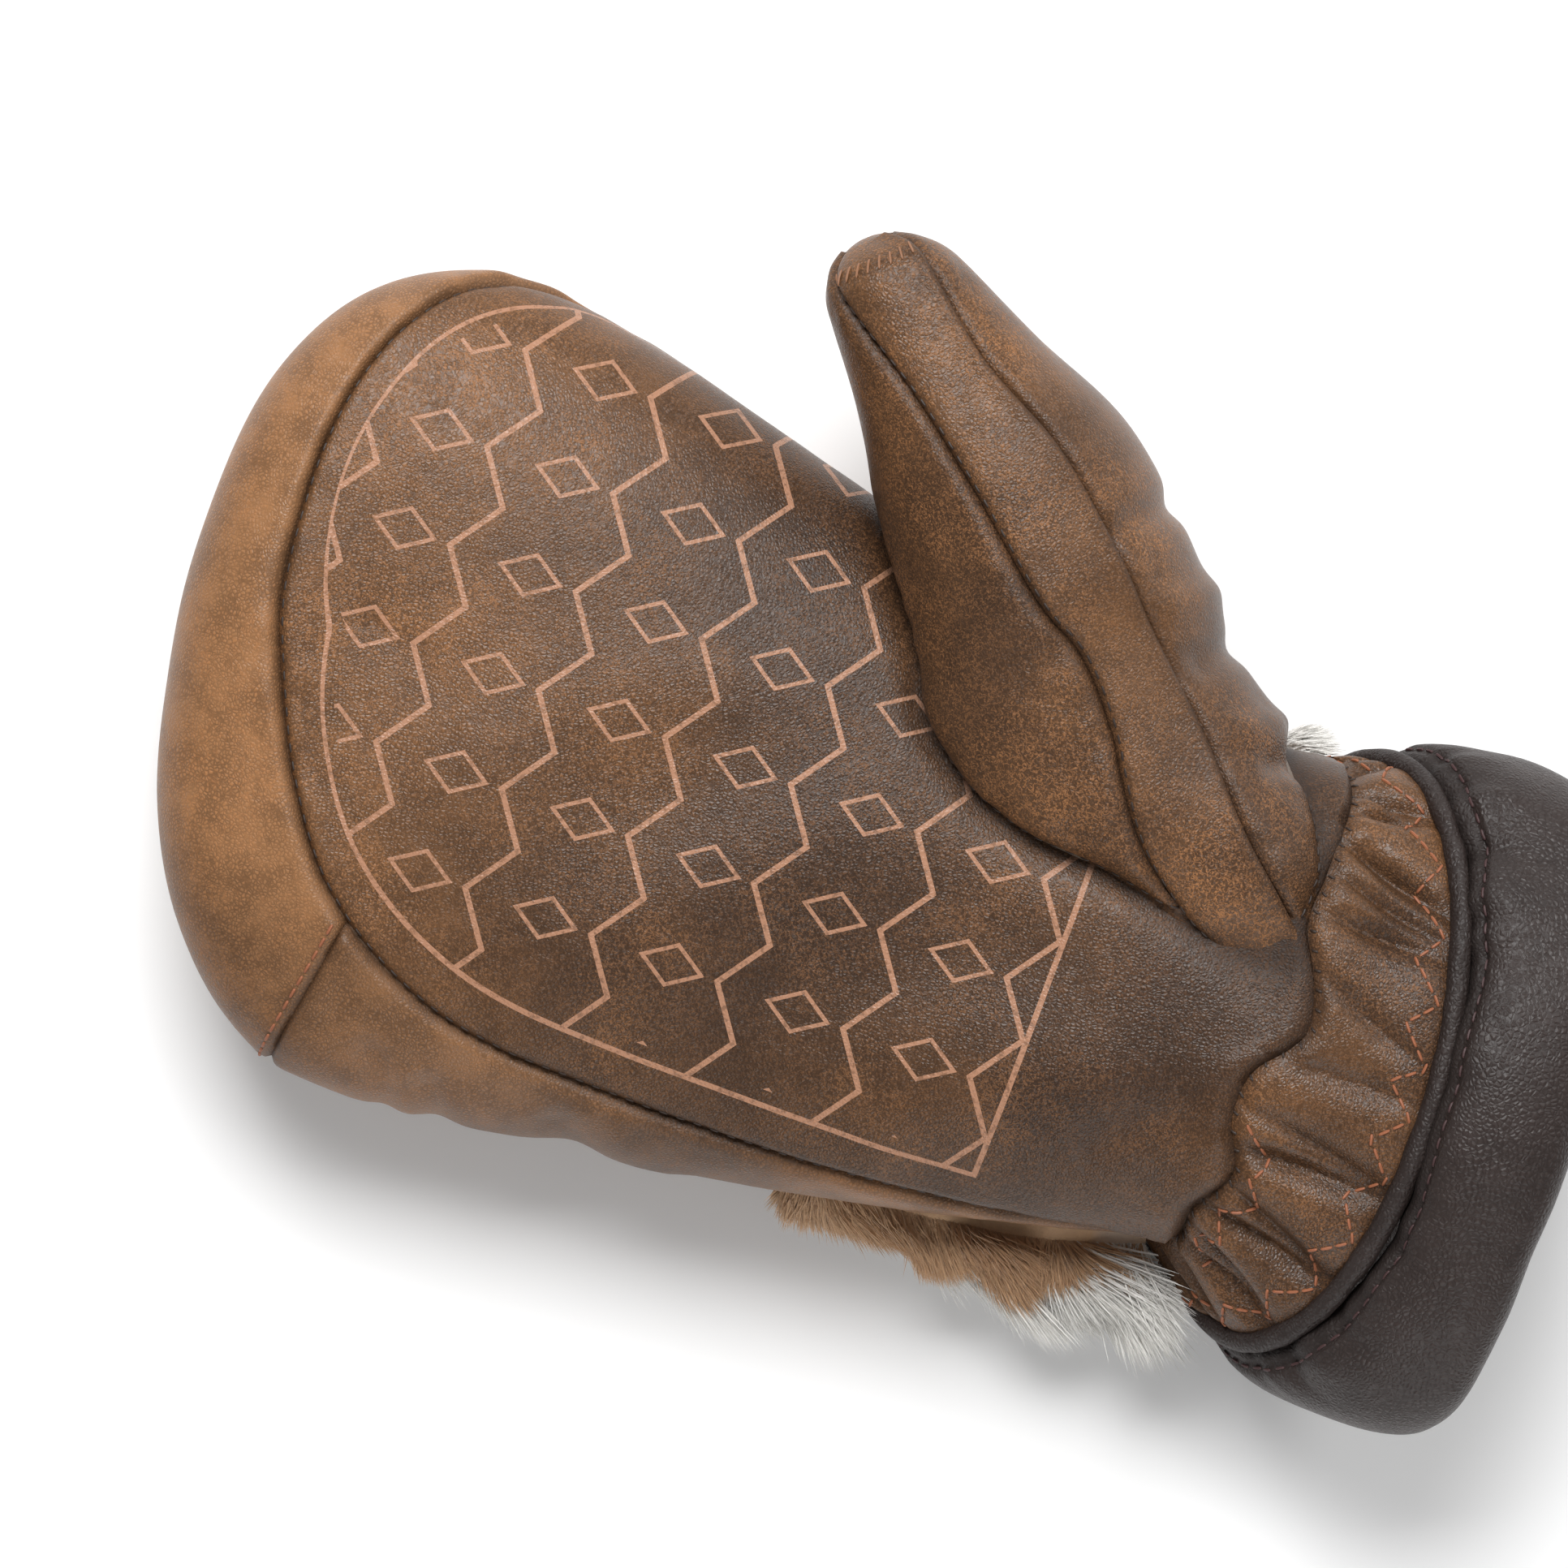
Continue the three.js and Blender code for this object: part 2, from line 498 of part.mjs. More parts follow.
// Where the outline passes a share of the length, on the little-finger or the thumb side.
function outlineAt(share, nearThumb) {
  let low = 0;
  let high = 0.5;
  for (let i = 0; i < 30; i++) {
    const middle = (low + high) / 2;
    const found = through(outlineAlong, nearThumb ? 1 - middle : middle);
    if (found < share) low = middle;
    else high = middle;
  }
  return nearThumb ? 1 - low : low;
}
// One lock: a square tuft that narrows to a point and leans towards the wrist.
function lock(t, turn, longer) {
  const root = handPoint(t, turn, LEATHER / 2);
  const out = handPoint(t, turn, 0).sub(handPoint(t, turn, LEATHER)).normalize();
  const wristward = new THREE.Vector3(1, 0, 0);
  const across = new THREE.Vector3().crossVectors(out, wristward).normalize();
  const lean = out.clone().multiplyScalar(LOCK_UPRIGHT).addScaledVector(wristward, LOCK_LEAN);
  const at = (share, half, a, b) =>
    root
      .clone()
      .addScaledVector(lean, PILE * longer * share)
      .addScaledVector(across, a * half)
      .addScaledVector(wristward, b * half);
  const corners = [[1, 0], [0, 1], [-1, 0], [0, -1]];
  const sections = [{ share: 0, half: LOCK_ROOT }, { share: 0.55, half: LOCK_BELLY }];
  const points = sections.flatMap(({ share, half }) =>
    corners.map(([a, b]) => at(share, half * LOCK_WIDTH, a, b)),
  );
  points.push(at(1, 0, 0, 0));
  for (const point of points) point.z = Math.max(point.z, 0);
  const faces = [[0, 2, 1], [0, 3, 2]];
  for (let k = 0; k < 4; k++) {
    const next = (k + 1) % 4;
    faces.push(...quad(k, next, 4 + next, 4 + k), [4 + k, 4 + next, 8]);
  }
  return solidOf(points, faces);
}

const wristGrown = wristFilled(-2 * GAP);
const cuffGrown = cuffSolid(-GAP);
const rimGrown = rimSolid(GAP);
add("palm_panel", palmPanel(), palmLeather);
const outlineGap = GAP / (2 * (HAND_LENGTH + HAND_WIDTH));
add("side_gusset", gusset(outlineGap, TIP_SEAM - outlineGap), tanLeather);
add("tip_gusset", gusset(TIP_SEAM + outlineGap, 1), tanLeather);
const furEdge = -FUR_START * HAND_LENGTH;
add("back_panel", openForThumb(backPiece().intersect(slab(-2 * HAND_LENGTH, furEdge - GAP))), tanLeather);
add("wrist_strip", wristStrip(0), wristLeather);
add("cuff_rim", rimSolid(0), cuffLeather);
add("cuff", cuffSolid(0), cuffLeather);

const stripLeft = (share) => radians(through(STRIP_LEFT, share));
const stripRight = (share) => radians(through(STRIP_RIGHT, share));
// Half the seam clearance as an angle round the thumb.
function thumbGap(share) {
  const round = thumbRound(share) * through(column(THUMB, "width"), share);
  return GAP / (THUMB_WIDTH * Math.max(round, 0.2));
}
const thumbShares = steps(0, THUMB_CAP_SEAM, THUMB_STEPS);
function thumbWall(from, to, low, high, rows, rims) {
  const angles = (share) => steps(low(share) + thumbGap(share), high(share) - thumbGap(share), rows);
  const between = thumbShares.filter((share) => share > from + SMALL && share < to - SMALL);
  return wall([from, ...between, to], angles, thumbPoint, rims);
}
const allRims = ["u0", "u1", "v0", "v1"];
const backSeamAngle = radians(THUMB_BACK_SEAM);
const lengthGap = GAP / THUMB_LENGTH;
const thumbInner = thumbWall(0, THUMB_CAP_SEAM, stripLeft, () => backSeamAngle, THUMB_ROWS, allRims);
const outerStart = () => backSeamAngle - 2 * Math.PI;
const thumbOuter = thumbWall(0, THUMB_CAP_SEAM, outerStart, stripRight, THUMB_ROWS, allRims);
const thumbStrip = thumbWall(0, STRIP_END, stripRight, stripLeft, STRIP_ROWS, allRims);
const tipStart = STRIP_END + lengthGap;
const tongueEnd = THUMB_CAP_SEAM + 2 * lengthGap;
const tongue = thumbWall(tipStart, tongueEnd, stripRight, stripLeft, STRIP_ROWS, allRims);
const capShares = steps(THUMB_CAP_SEAM + lengthGap, 1, CAP_ROWS);
const capAngles = () => steps(0, 2 * Math.PI, THUMB_SIDES);
const cap = wall(capShares, capAngles, thumbPoint, ["u0"]);
add("thumb_inner", outsideHand(thumbInner), thumbLeather);
add("thumb_outer", outsideHand(thumbOuter), thumbLeather);
add("thumb_strip", outsideHand(thumbStrip), thumbLeather);
add("thumb_tip", tongue.add(cap), thumbLeather);
const furNeighbours = [
  cuffGrown,
  rimGrown,
  wristStrip(2 * GAP),
  gusset(0, 1, 2 * GAP),
  thumbSolid(-GAP),
];
add("fur_panel", furPanel(furNeighbours), fur);

// The origin is on the surface that the mitten lies on, under the middle of its box.
nodes.updateMatrixWorld(true);
const box = new THREE.Box3().setFromObject(nodes);
const middle = box.getCenter(new THREE.Vector3());
nodes.position.set(-middle.x, -middle.y, -box.min.z);
nodes.name = "mitten";

export default nodes;
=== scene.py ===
"""A used leather mitten that lies palm up: worn leather panels sewn with thread, a gathered wrist,
a padded cuff and a fur panel on the back. Shapes are worked out in millimetres in the frame of the
part's source, from the same formulas as its solids, and are moved into the row frame when a mesh is
made."""
import math
from itertools import product
from types import SimpleNamespace

import bpy
import numpy as np
from bpy.props import FloatProperty, FloatVectorProperty, IntProperty, PointerProperty
from mathutils import Matrix, Vector


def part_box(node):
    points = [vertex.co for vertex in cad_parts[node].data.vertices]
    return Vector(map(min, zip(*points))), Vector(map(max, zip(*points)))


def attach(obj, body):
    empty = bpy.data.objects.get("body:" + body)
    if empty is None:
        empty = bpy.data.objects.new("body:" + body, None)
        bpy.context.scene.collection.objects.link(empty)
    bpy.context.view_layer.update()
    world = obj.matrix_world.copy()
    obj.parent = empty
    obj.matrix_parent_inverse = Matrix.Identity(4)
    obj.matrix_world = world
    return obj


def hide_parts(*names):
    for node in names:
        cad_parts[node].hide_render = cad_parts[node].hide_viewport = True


bl_info = {
    "name": "Leather mitten",
    "version": (1, 0, 0),
    "blender": (4, 5, 0),
    "location": "View3D > Sidebar > Mitten",
    "description": "Builds a used leather mitten with its seams, stitching, fur and padded cuff",
    "category": "Add Mesh",
}

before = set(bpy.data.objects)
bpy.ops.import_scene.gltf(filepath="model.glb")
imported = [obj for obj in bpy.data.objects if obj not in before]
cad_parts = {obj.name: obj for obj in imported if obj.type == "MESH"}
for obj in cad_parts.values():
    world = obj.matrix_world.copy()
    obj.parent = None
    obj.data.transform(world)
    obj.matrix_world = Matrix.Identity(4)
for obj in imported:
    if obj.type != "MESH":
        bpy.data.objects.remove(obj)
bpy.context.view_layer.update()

# Sizes of the part's source, in millimetres
HAND_LENGTH = 203
HAND_WIDTH = 145
HAND_DEPTH = 60
FINGER_CURL = 9
BACK_FLAT = 4
EDGE_SQUARENESS = 2.5
THUMB_SQUARENESS = 2.2
LEATHER = 2
PILE = 19
PILE_UNDER = 8
THUMB_LENGTH = 139
THUMB_WIDTH = 52
THUMB_DEPTH = 54
THUMB_ANGLE = math.radians(47)
THUMB_RISE = 18
THUMB_ROOT_ALONG = 8
THUMB_ROOT_SIDE = 5
THUMB_ROOT_HEIGHT = 0.62
THUMB_CAP = 0.12
WRIST_WIDTH = 102
WRIST_DEPTH = 58
WRIST_STRIP = 28
SIDE_STRIP = 11
BACK_STRIP = 7
WRIST_SIDE_SHIFT = -5
CUFF_PALM_LEAD = 20
CUFF_SIDE_LEAD = 4
CUFF_WIDTH = 39
CUFF_PALM_NARROWING = 12
CUFF_SQUARENESS = 2.5
CUFF_PUFF = 0.12
CUFF_THICKNESS = 15
CUFF_PROUD = 8
RIM_RADIUS = 1.7
GATHER_HEIGHT = 1.6
GAP = 0.3
TIP_PULL = 0.17
TIP_SEAM = 0.3
FUR_START = 0.33
FUR_FADE = 0.2
LEAN_REACH = 0.35
STRIP_END = 0.93
THUMB_CAP_SEAM = 0.985
OUTLINE_ALONG = (
    0, 0.172, 0.355, 0.527, 0.675, 0.808, 0.897, 0.96, 0.995, 0.983, 0.921, 0.808, 0.66, 0.502,
    0.33, 0.158, 0,
)
OUTLINE_SIDE = (
    -0.303, -0.366, -0.424, -0.462, -0.496, -0.476, -0.372, -0.193, 0.041, 0.29, 0.438, 0.493,
    0.472, 0.414, 0.352, 0.317, 0.29,
)
PALM_SEAM = (
    0.47, 0.39, 0.32, 0.28, 0.23, 0.17, 0.13, 0.115, 0.13, 0.18, 0.29, 0.47, 0.56, 0.58, 0.58,
    0.56, 0.54,
)
BACK_SEAM = (
    0.56, 0.56, 0.6, 0.62, 0.62, 0.62, 0.62, 0.62, 0.62, 0.62, 0.62, 0.63, 0.64, 0.64, 0.64, 0.62,
    0.6,
)
PALM_HEIGHT = (1.1, 1.04, 0.97, 0.95, 0.93, 0.84)
EDGE_HEIGHT = (0.6, 0.55, 0.5, 0.48, 0.47, 0.46)
THUMB_ALONG = (0, 0.13, 0.27, 0.41, 0.52, 0.67, 0.81, 0.93, 1)
THUMB_SWAY = (-0.15, -0.05, 0.12, 0.16, 0.11, 0.1, 0.15, 0.2, 0.23)
THUMB_LIFT = (0, 0.1, 0.2, 0.3, 0.45, 0.6, 0.78, 0.93, 1)
THUMB_WIDE = (0.85, 0.9, 1.07, 1.1, 0.98, 0.87, 0.64, 0.48, 0.36)
THUMB_DEEP = (1.06, 1.08, 1.06, 1.03, 1, 0.88, 0.68, 0.52, 0.4)
STRIP_LEFT = (30, 26, 2, -4, 8, 17, 27, 50, 74)
STRIP_RIGHT = (-6, -12, -29, -30, -26, -21, -17, -27, -44)

MM = 0.001
FLOOR_CLEAR = 0.3  # nothing comes lower than this over the surface the mitten lies on
WRIST_RADIUS = (WRIST_WIDTH + WRIST_DEPTH) / 4  # a circle's that is as wide as the wrist's mean
BODY = "root"


def through(values, t):
    """A smooth curve through equally spaced values, read at t from 0 to 1. Each step is a cubic
    whose slope at a value is half the difference between the value's two neighbours."""
    values = np.asarray(values, float)
    last = len(values) - 1
    place = np.clip(t, 0, 1) * last
    i = np.minimum(place.astype(int), last - 1)
    f = place - i
    g = 1 - f
    before = 2 * values[0] - values[1]
    beyond = 2 * values[-1] - values[-2]
    a, b, c, d = (np.concatenate([[before], values, [beyond]])[i + k] for k in range(4))
    ends = b * g * g * (1 + 2 * f) + c * f * f * (3 - 2 * f)
    return ends + (c - a) / 2 * f * g * g - (d - b) / 2 * f * f * g


def signed_power(v, p):
    """The size of v raised to p, with v's sign."""
    return np.sign(v) * np.abs(v) ** p


def smooth_step(v, low, high):
    """0 below low, 1 above high, 3f^2 - 2f^3 between."""
    f = np.clip((v - low) / (high - low), 0, 1)
    return f * f * (3 - 2 * f)


def vectors(x, y, z):
    """Three arrays as one array of points."""
    return np.stack(np.broadcast_arrays(x, y, z), axis=-1).astype(float)


def unit(v):
    """Vectors scaled to length 1."""
    return v / np.maximum(np.linalg.norm(v, axis=-1, keepdims=True), 1e-9)


def plan_x(t, turn):
    """How far a point of the hand is from the wrist seam before the hand's end is slanted."""
    along = through(OUTLINE_ALONG, t)
    middle = (along + through(OUTLINE_ALONG, 1 - t)) / 2
    spine = -(middle - TIP_PULL * middle**4) * HAND_LENGTH
    out = np.sin(np.pi * turn) ** (2 / EDGE_SQUARENESS)
    return spine + (-along * HAND_LENGTH - spine) * out


def hand_point(t, turn, depth=0.0):
    """A point of the hand, t along its outline from the little-finger side of the wrist round the
    fingertips to the thumb side, turn from 0 mid palm over 0.5 at the edge to 1 mid back. Each
    section is a superellipse between the middle line and the outline: out = sin(pi turn)^(2/p)
    sideways and up = cos(pi turn)^(2/p) between the palm's, the edge's and the back's heights."""
    along = through(OUTLINE_ALONG, t)
    side = through(OUTLINE_SIDE, t)
    middle = (along + through(OUTLINE_ALONG, 1 - t)) / 2
    spine_x = -(middle - TIP_PULL * middle**4) * HAND_LENGTH
    spine_y = (side + through(OUTLINE_SIDE, 1 - t)) / 2 * HAND_WIDTH
    rim_x = -along * HAND_LENGTH
    rim_y = side * HAND_WIDTH
    reach = np.hypot(rim_x - spine_x, rim_y - spine_y)
    sine = np.maximum(np.sin(np.pi * turn), 0)
    out = sine ** (2 / EDGE_SQUARENESS) * (1 - depth / reach)
    up = signed_power(np.cos(np.pi * turn), 2 / EDGE_SQUARENESS)
    x = spine_x + (rim_x - spine_x) * out
    y = spine_y + (rim_y - spine_y) * out
    share = -x / HAND_LENGTH
    at = -spine_x / HAND_LENGTH / (1 - TIP_PULL)
    top = through(PALM_HEIGHT, at) * HAND_DEPTH - depth
    mid = through(EDGE_HEIGHT, at) * HAND_DEPTH
    under_fur = np.clip((FUR_START + FUR_FADE / 2 - share) / FUR_FADE, 0, 1)
    low = (PILE_UNDER + BACK_FLAT) * under_fur**1.5 - BACK_FLAT + depth
    z = mid + np.where(up > 0, top - mid, low - mid) * np.abs(up)
    at_side = CUFF_PALM_LEAD - WRIST_STRIP + SIDE_STRIP
    at_back = 2 * CUFF_PALM_LEAD - WRIST_STRIP + BACK_STRIP
    slant = at_side - at_back / 2 * up + (at_back / 2 - at_side) * up * up
    lean = np.clip(1 - share / LEAN_REACH, 0, 1) ** 2 * slant
    curl = FINGER_CURL * np.clip((share - 0.5) / 0.5, 0, 1) ** 2
    return vectors(x - lean, y, np.maximum(z + curl, np.maximum(depth, 0)))


def seam_lead(angle):
    """How far the cuff seam sits beyond the palm's wrist seam, by the angle round the wrist."""
    return (
        WRIST_STRIP - CUFF_PALM_LEAD * (1 - np.sin(angle)) - CUFF_SIDE_LEAD * np.cos(angle)
    )


def ring_point(angle, forward, outward):
    """A point beyond the hand: forward from the cuff seam, outward from the wrist's ellipse."""
    y = WRIST_SIDE_SHIFT + (WRIST_WIDTH / 2 + outward) * np.cos(angle)
    z = WRIST_DEPTH / 2 + CUFF_PROUD + (WRIST_DEPTH / 2 + outward) * np.sin(angle)
    return vectors(seam_lead(angle) + forward, y, z)


def wrist_point(angle, share, depth=0.0):
    """The gathered strip: a straight run from the hand's slanted end to the cuff seam, sunk by
    half a sine so that its gathers, which are added later, reach no further than the solid."""
    turn = np.abs(np.arctan2(np.cos(angle), np.sin(angle))) / np.pi
    start = hand_point(np.where(np.cos(angle) < 0, 0.0, 1.0), turn, depth)
    end = ring_point(angle, 0, -depth)
    sunk = GATHER_HEIGHT * np.sin(np.pi * share)
    outward = vectors(0, np.cos(angle), np.sin(angle))
    return start + (end - start) * np.asarray(share)[..., None] - outward * sunk[..., None]


def cuff_point(angle, turn, depth=0.0):
    """The padded roll: a superellipse section carried round the wrist, thicker and thinner by a
    slow wave, and flattened where it lies on the surface below."""
    start = 2 * RIM_RADIUS + 1.5 * GAP
    half = (CUFF_WIDTH - CUFF_PALM_NARROWING * np.sin(angle) - start) / 2 - depth
    puff = 1 + CUFF_PUFF * (0.6 * np.sin(3 * angle + 0.6) + 0.4 * np.sin(5 * angle))
    thick = CUFF_THICKNESS / 2 * puff - depth
    power = 2 / CUFF_SQUARENESS
    forward = start + half + depth + half * signed_power(np.cos(turn), power)
    outward = CUFF_PROUD - CUFF_THICKNESS / 2 + thick * signed_power(np.sin(turn), power)
    point = ring_point(angle, forward, outward)
    point[..., 2] = np.maximum(point[..., 2], np.maximum(depth, 0))
    return point


THUMB_ROOT = np.array([-THUMB_ROOT_ALONG, THUMB_ROOT_SIDE, THUMB_ROOT_HEIGHT * HAND_DEPTH])
THUMB_WAY = np.array([-math.cos(THUMB_ANGLE), math.sin(THUMB_ANGLE), 0])
THUMB_INWARD = np.array([-math.sin(THUMB_ANGLE), -math.cos(THUMB_ANGLE), 0])


def thumb_point(share, angle, depth=0.0):
    """A point of the thumb: share from root to tip, angle round it from 0 at the front towards
    the fingers. A superellipse section is carried along a swaying line, and closes at the tip as
    the square root of 1 - (1 - d)^2, where d is the distance to the end over the cap's length."""
    to_end = np.minimum((1 - share) / THUMB_CAP, 1)
    closed = np.sqrt(np.maximum(1 - (1 - to_end) ** 2, 0))
    half_width = np.maximum(THUMB_WIDTH / 2 * through(THUMB_WIDE, share) * closed - depth, 0)
    half_depth = np.maximum(THUMB_DEPTH / 2 * through(THUMB_DEEP, share) * closed - depth, 0)
    sideways = half_width * signed_power(np.sin(angle), 2 / THUMB_SQUARENESS)
    frontways = half_depth * signed_power(np.cos(angle), 2 / THUMB_SQUARENESS)
    along = through(THUMB_ALONG, share) * THUMB_LENGTH
    along = along - np.where(share > 1 - THUMB_CAP, depth * (1 - closed), 0)
    sideways = through(THUMB_SWAY, share) * THUMB_WIDTH + sideways
    frontways = through(THUMB_LIFT, share) * THUMB_RISE + frontways
    return (
        THUMB_ROOT
        + np.asarray(along)[..., None] * THUMB_WAY
        + np.asarray(sideways)[..., None] * THUMB_INWARD
        + vectors(0, 0, frontways)
    )


def frame_shift():
    """How far the source's frame is from the row frame, in millimetres: the folded rim's ring is
    worked out again with the solid's four sides, and its box is set against the node's."""
    angle = np.linspace(0, 2 * np.pi, 61)[:, None]
    side = np.linspace(0, 2 * np.pi, 5)[None, :]
    forward = RIM_RADIUS + GAP / 2 + RIM_RADIUS * np.cos(side)
    ring = ring_point(angle, forward, RIM_RADIUS - LEATHER / 2 + RIM_RADIUS * np.sin(side))
    low, high = (np.array(corner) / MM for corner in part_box("cuff_rim"))
    return (low + high) / 2 - (ring.min((0, 1)) + ring.max((0, 1))) / 2


SHIFT = frame_shift()


def noise(points, size, seed=0):
    """Smooth value noise from -1 to 1: hashed values at the corners of cells that are size across,
    blended by 3f^2 - 2f^3 along each axis."""
    place = points / size
    cell = np.floor(place).astype(np.int64)
    f = place - cell
    f = f * f * (3 - 2 * f)
    total = 0
    for corner in product((0, 1), repeat=3):
        at = cell + np.array(corner)
        mixed = at[..., 0] * 73856093 ^ at[..., 1] * 19349663 ^ at[..., 2] * 83492791
        mixed = (mixed ^ (seed * 9781 + 12345)) * 1274126177
        mixed = (mixed ^ (mixed >> 15)) * 2246822519
        value = ((mixed >> 13) & 0xFFFF) / 32767.5 - 1
        total = total + value * np.prod(np.where(corner, f, 1 - f), axis=-1)
    return total


def distances(points, axis, from_end=False):
    """Distance run along one axis of a grid of points, from its first or its last line."""
    step = np.linalg.norm(np.diff(points, axis=axis), axis=-1)
    zero = np.zeros_like(np.take(step, [0], axis=axis))
    run = np.concatenate([zero, np.cumsum(step, axis=axis)], axis=axis)
    return np.take(run, [-1], axis=axis) - run if from_end else run


def grid_normals(points, loop_u=False, loop_v=False):
    """Outward directions of a grid: the cross product of its differences along u and along v."""

    def slope(axis, loop):
        if loop:
            return np.roll(points, -1, axis) - np.roll(points, 1, axis)
        return np.gradient(points, axis=axis)

    return unit(np.cross(slope(0, loop_u), slope(1, loop_v)))


def signed_gap(points, surface, normals):
    """How far points are outside another surface, negative inside: the offset from the nearest of
    its sample points along the outward direction there."""
    flat = points.reshape(-1, 3)
    samples = surface.reshape(-1, 3)
    ways = normals.reshape(-1, 3)
    squares = (samples**2).sum(1)
    gap = np.empty(len(flat))
    for first in range(0, len(flat), 2000):
        part = flat[first : first + 2000]
        nearest = (squares - 2 * part @ samples.T).argmin(1)
        gap[first : first + 2000] = ((part - samples[nearest]) * ways[nearest]).sum(1)
    return gap.reshape(points.shape[:-1])


def seam_section(d, depth, reach, roll=0.0):
    """A seam's section by the distance d from it: sunk by depth * exp(-(d / reach)^1.4), with a
    soft roll beside it of roll * x * exp(1 - x), where x = d / (2.2 reach)."""
    x = d / (2.2 * reach)
    return roll * x * np.exp(1 - x) - depth * np.exp(-((d / reach) ** 1.4))


def strokes(points, table):
    """Soft creases and ridges drawn in plan: each is height * exp(-(d / width)^2), where d is the
    distance from the line between its two ends, bent sideways by bow at its middle."""
    flat = points[..., :2]
    total = 0
    for x0, y0, x1, y1, bow, width, height in table:
        start = np.array([x0, y0])
        way = np.array([x1 - x0, y1 - y0])
        along = np.clip(((flat - start) @ way) / (way @ way), 0, 1)
        side = np.array([-way[1], way[0]]) / np.linalg.norm(way)
        line = start + along[..., None] * way + (4 * bow * along * (1 - along))[..., None] * side
        d = np.linalg.norm(flat - line, axis=-1)
        ends = np.clip(4 * np.minimum(along, 1 - along) + 0.15, 0, 1)
        total = total + height * ends * np.exp(-((d / width) ** 2))
    return total


LAST_CELL = 1.001  # keeps a fractional grid place inside the last cell
SHARP_EDGE = math.radians(55)  # faces that meet at more than this aren't shaded smooth


class Panel:
    """A grid of a piece's outer face at(u, v), with its outward directions, its distances to the
    seams along v, and the relief that is laid on it before a mesh is made. flip is for a grid
    whose u and v turn the other way round."""

    def __init__(self, at, u, v, loop_u=False, loop_v=False, flip=False):
        u = np.asarray(u, float)
        u = u[:, None] if u.ndim == 1 else u
        self.u, self.v = (1.0 * grid for grid in np.broadcast_arrays(u, np.asarray(v, float)))
        self.loop_u = loop_u
        self.loop_v = loop_v
        self.flip = flip
        self.base = at(self.u, self.v, 0.0)
        self.inner = at(self.u, self.v, float(LEATHER))
        self.normals = grid_normals(self.base, loop_u, loop_v) * (-1 if flip else 1)
        self.low_seam = distances(self.base, 1)
        self.high_seam = distances(self.base, 1, from_end=True)
        self.run = distances(self.base, 0)
        self.relief = np.zeros(self.base.shape[:2])
        self.values = {}

    def sink(self, amount):
        """Moves the whole leather inward, as where it goes under its neighbour."""
        self.base -= self.normals * amount[..., None]
        self.inner -= self.normals * amount[..., None]

    def outer(self):
        """The outer face with its relief, kept above the floor."""
        points = self.base + self.normals * self.relief[..., None]
        points[..., 2] = np.maximum(points[..., 2], FLOOR_CLEAR)
        return points

    def place(self, i, j):
        """Points and outward directions of the finished face at fractional grid places."""
        points = self.outer()
        ways = grid_normals(points, self.loop_u, self.loop_v) * (-1 if self.flip else 1)
        rows, columns = points.shape[:2]
        i = np.clip(i, 0, rows - LAST_CELL)
        j = np.clip(j, 0, columns - LAST_CELL)
        i0, j0 = i.astype(int), j.astype(int)
        fi, fj = (i - i0)[..., None], (j - j0)[..., None]

        def blended(grid):
            low = grid[i0, j0] * (1 - fi) + grid[i0 + 1, j0] * fi
            high = grid[i0, j0 + 1] * (1 - fi) + grid[i0 + 1, j0 + 1] * fi
            return low * (1 - fj) + high * fj

        return blended(points), unit(blended(ways))

    def beside(self, inset, high=True):
        """A line on the finished face at a distance from the seam at the high or the low end of v,
        one point for each column of the grid."""
        seam = self.high_seam[:, ::-1] if high else self.low_seam
        inset = np.broadcast_to(inset, len(seam))
        j = np.array([np.interp(d, row, np.arange(len(row))) for d, row in zip(inset, seam)])
        if high:
            j = seam.shape[1] - 1 - j
        return self.place(np.arange(len(seam), dtype=float), j)


def grid_quads(index, loop_u=False, loop_v=False):
    """The four corners of every cell of a grid of vertex numbers."""
    if loop_u:
        index = np.concatenate([index, index[:1]], 0)
    if loop_v:
        index = np.concatenate([index, index[:, :1]], 1)
    return np.stack([index[:-1, :-1], index[1:, :-1], index[1:, 1:], index[:-1, 1:]], -1)


def rim_quads(outer, inner, keep, loop_u=False, spine=False):
    """Quads that join the outer and the inner face along each side of a kept cell that has no
    kept neighbour there. spine says that the cells along v's start meet their mirror images."""
    padded = np.pad(keep, 1)
    if loop_u:
        padded[0, 1:-1], padded[-1, 1:-1] = keep[-1], keep[0]
    if spine:
        padded[1:-1, 0] = keep[::-1, 0]
    sides = (
        (padded[:-2, 1:-1], 0, 3, False),
        (padded[2:, 1:-1], 1, 2, True),
        (padded[1:-1, :-2], 0, 1, True),
        (padded[1:-1, 2:], 3, 2, False),
    )
    quads = []
    for neighbour, a, b, turned in sides:
        open_side = keep & ~neighbour
        oa, ob = outer[open_side][:, a], outer[open_side][:, b]
        ia, ib = inner[open_side][:, a], inner[open_side][:, b]
        corners = (oa, ia, ib, ob) if turned else (oa, ob, ib, ia)
        quads.append(np.stack(corners, -1))
    return np.concatenate(quads)


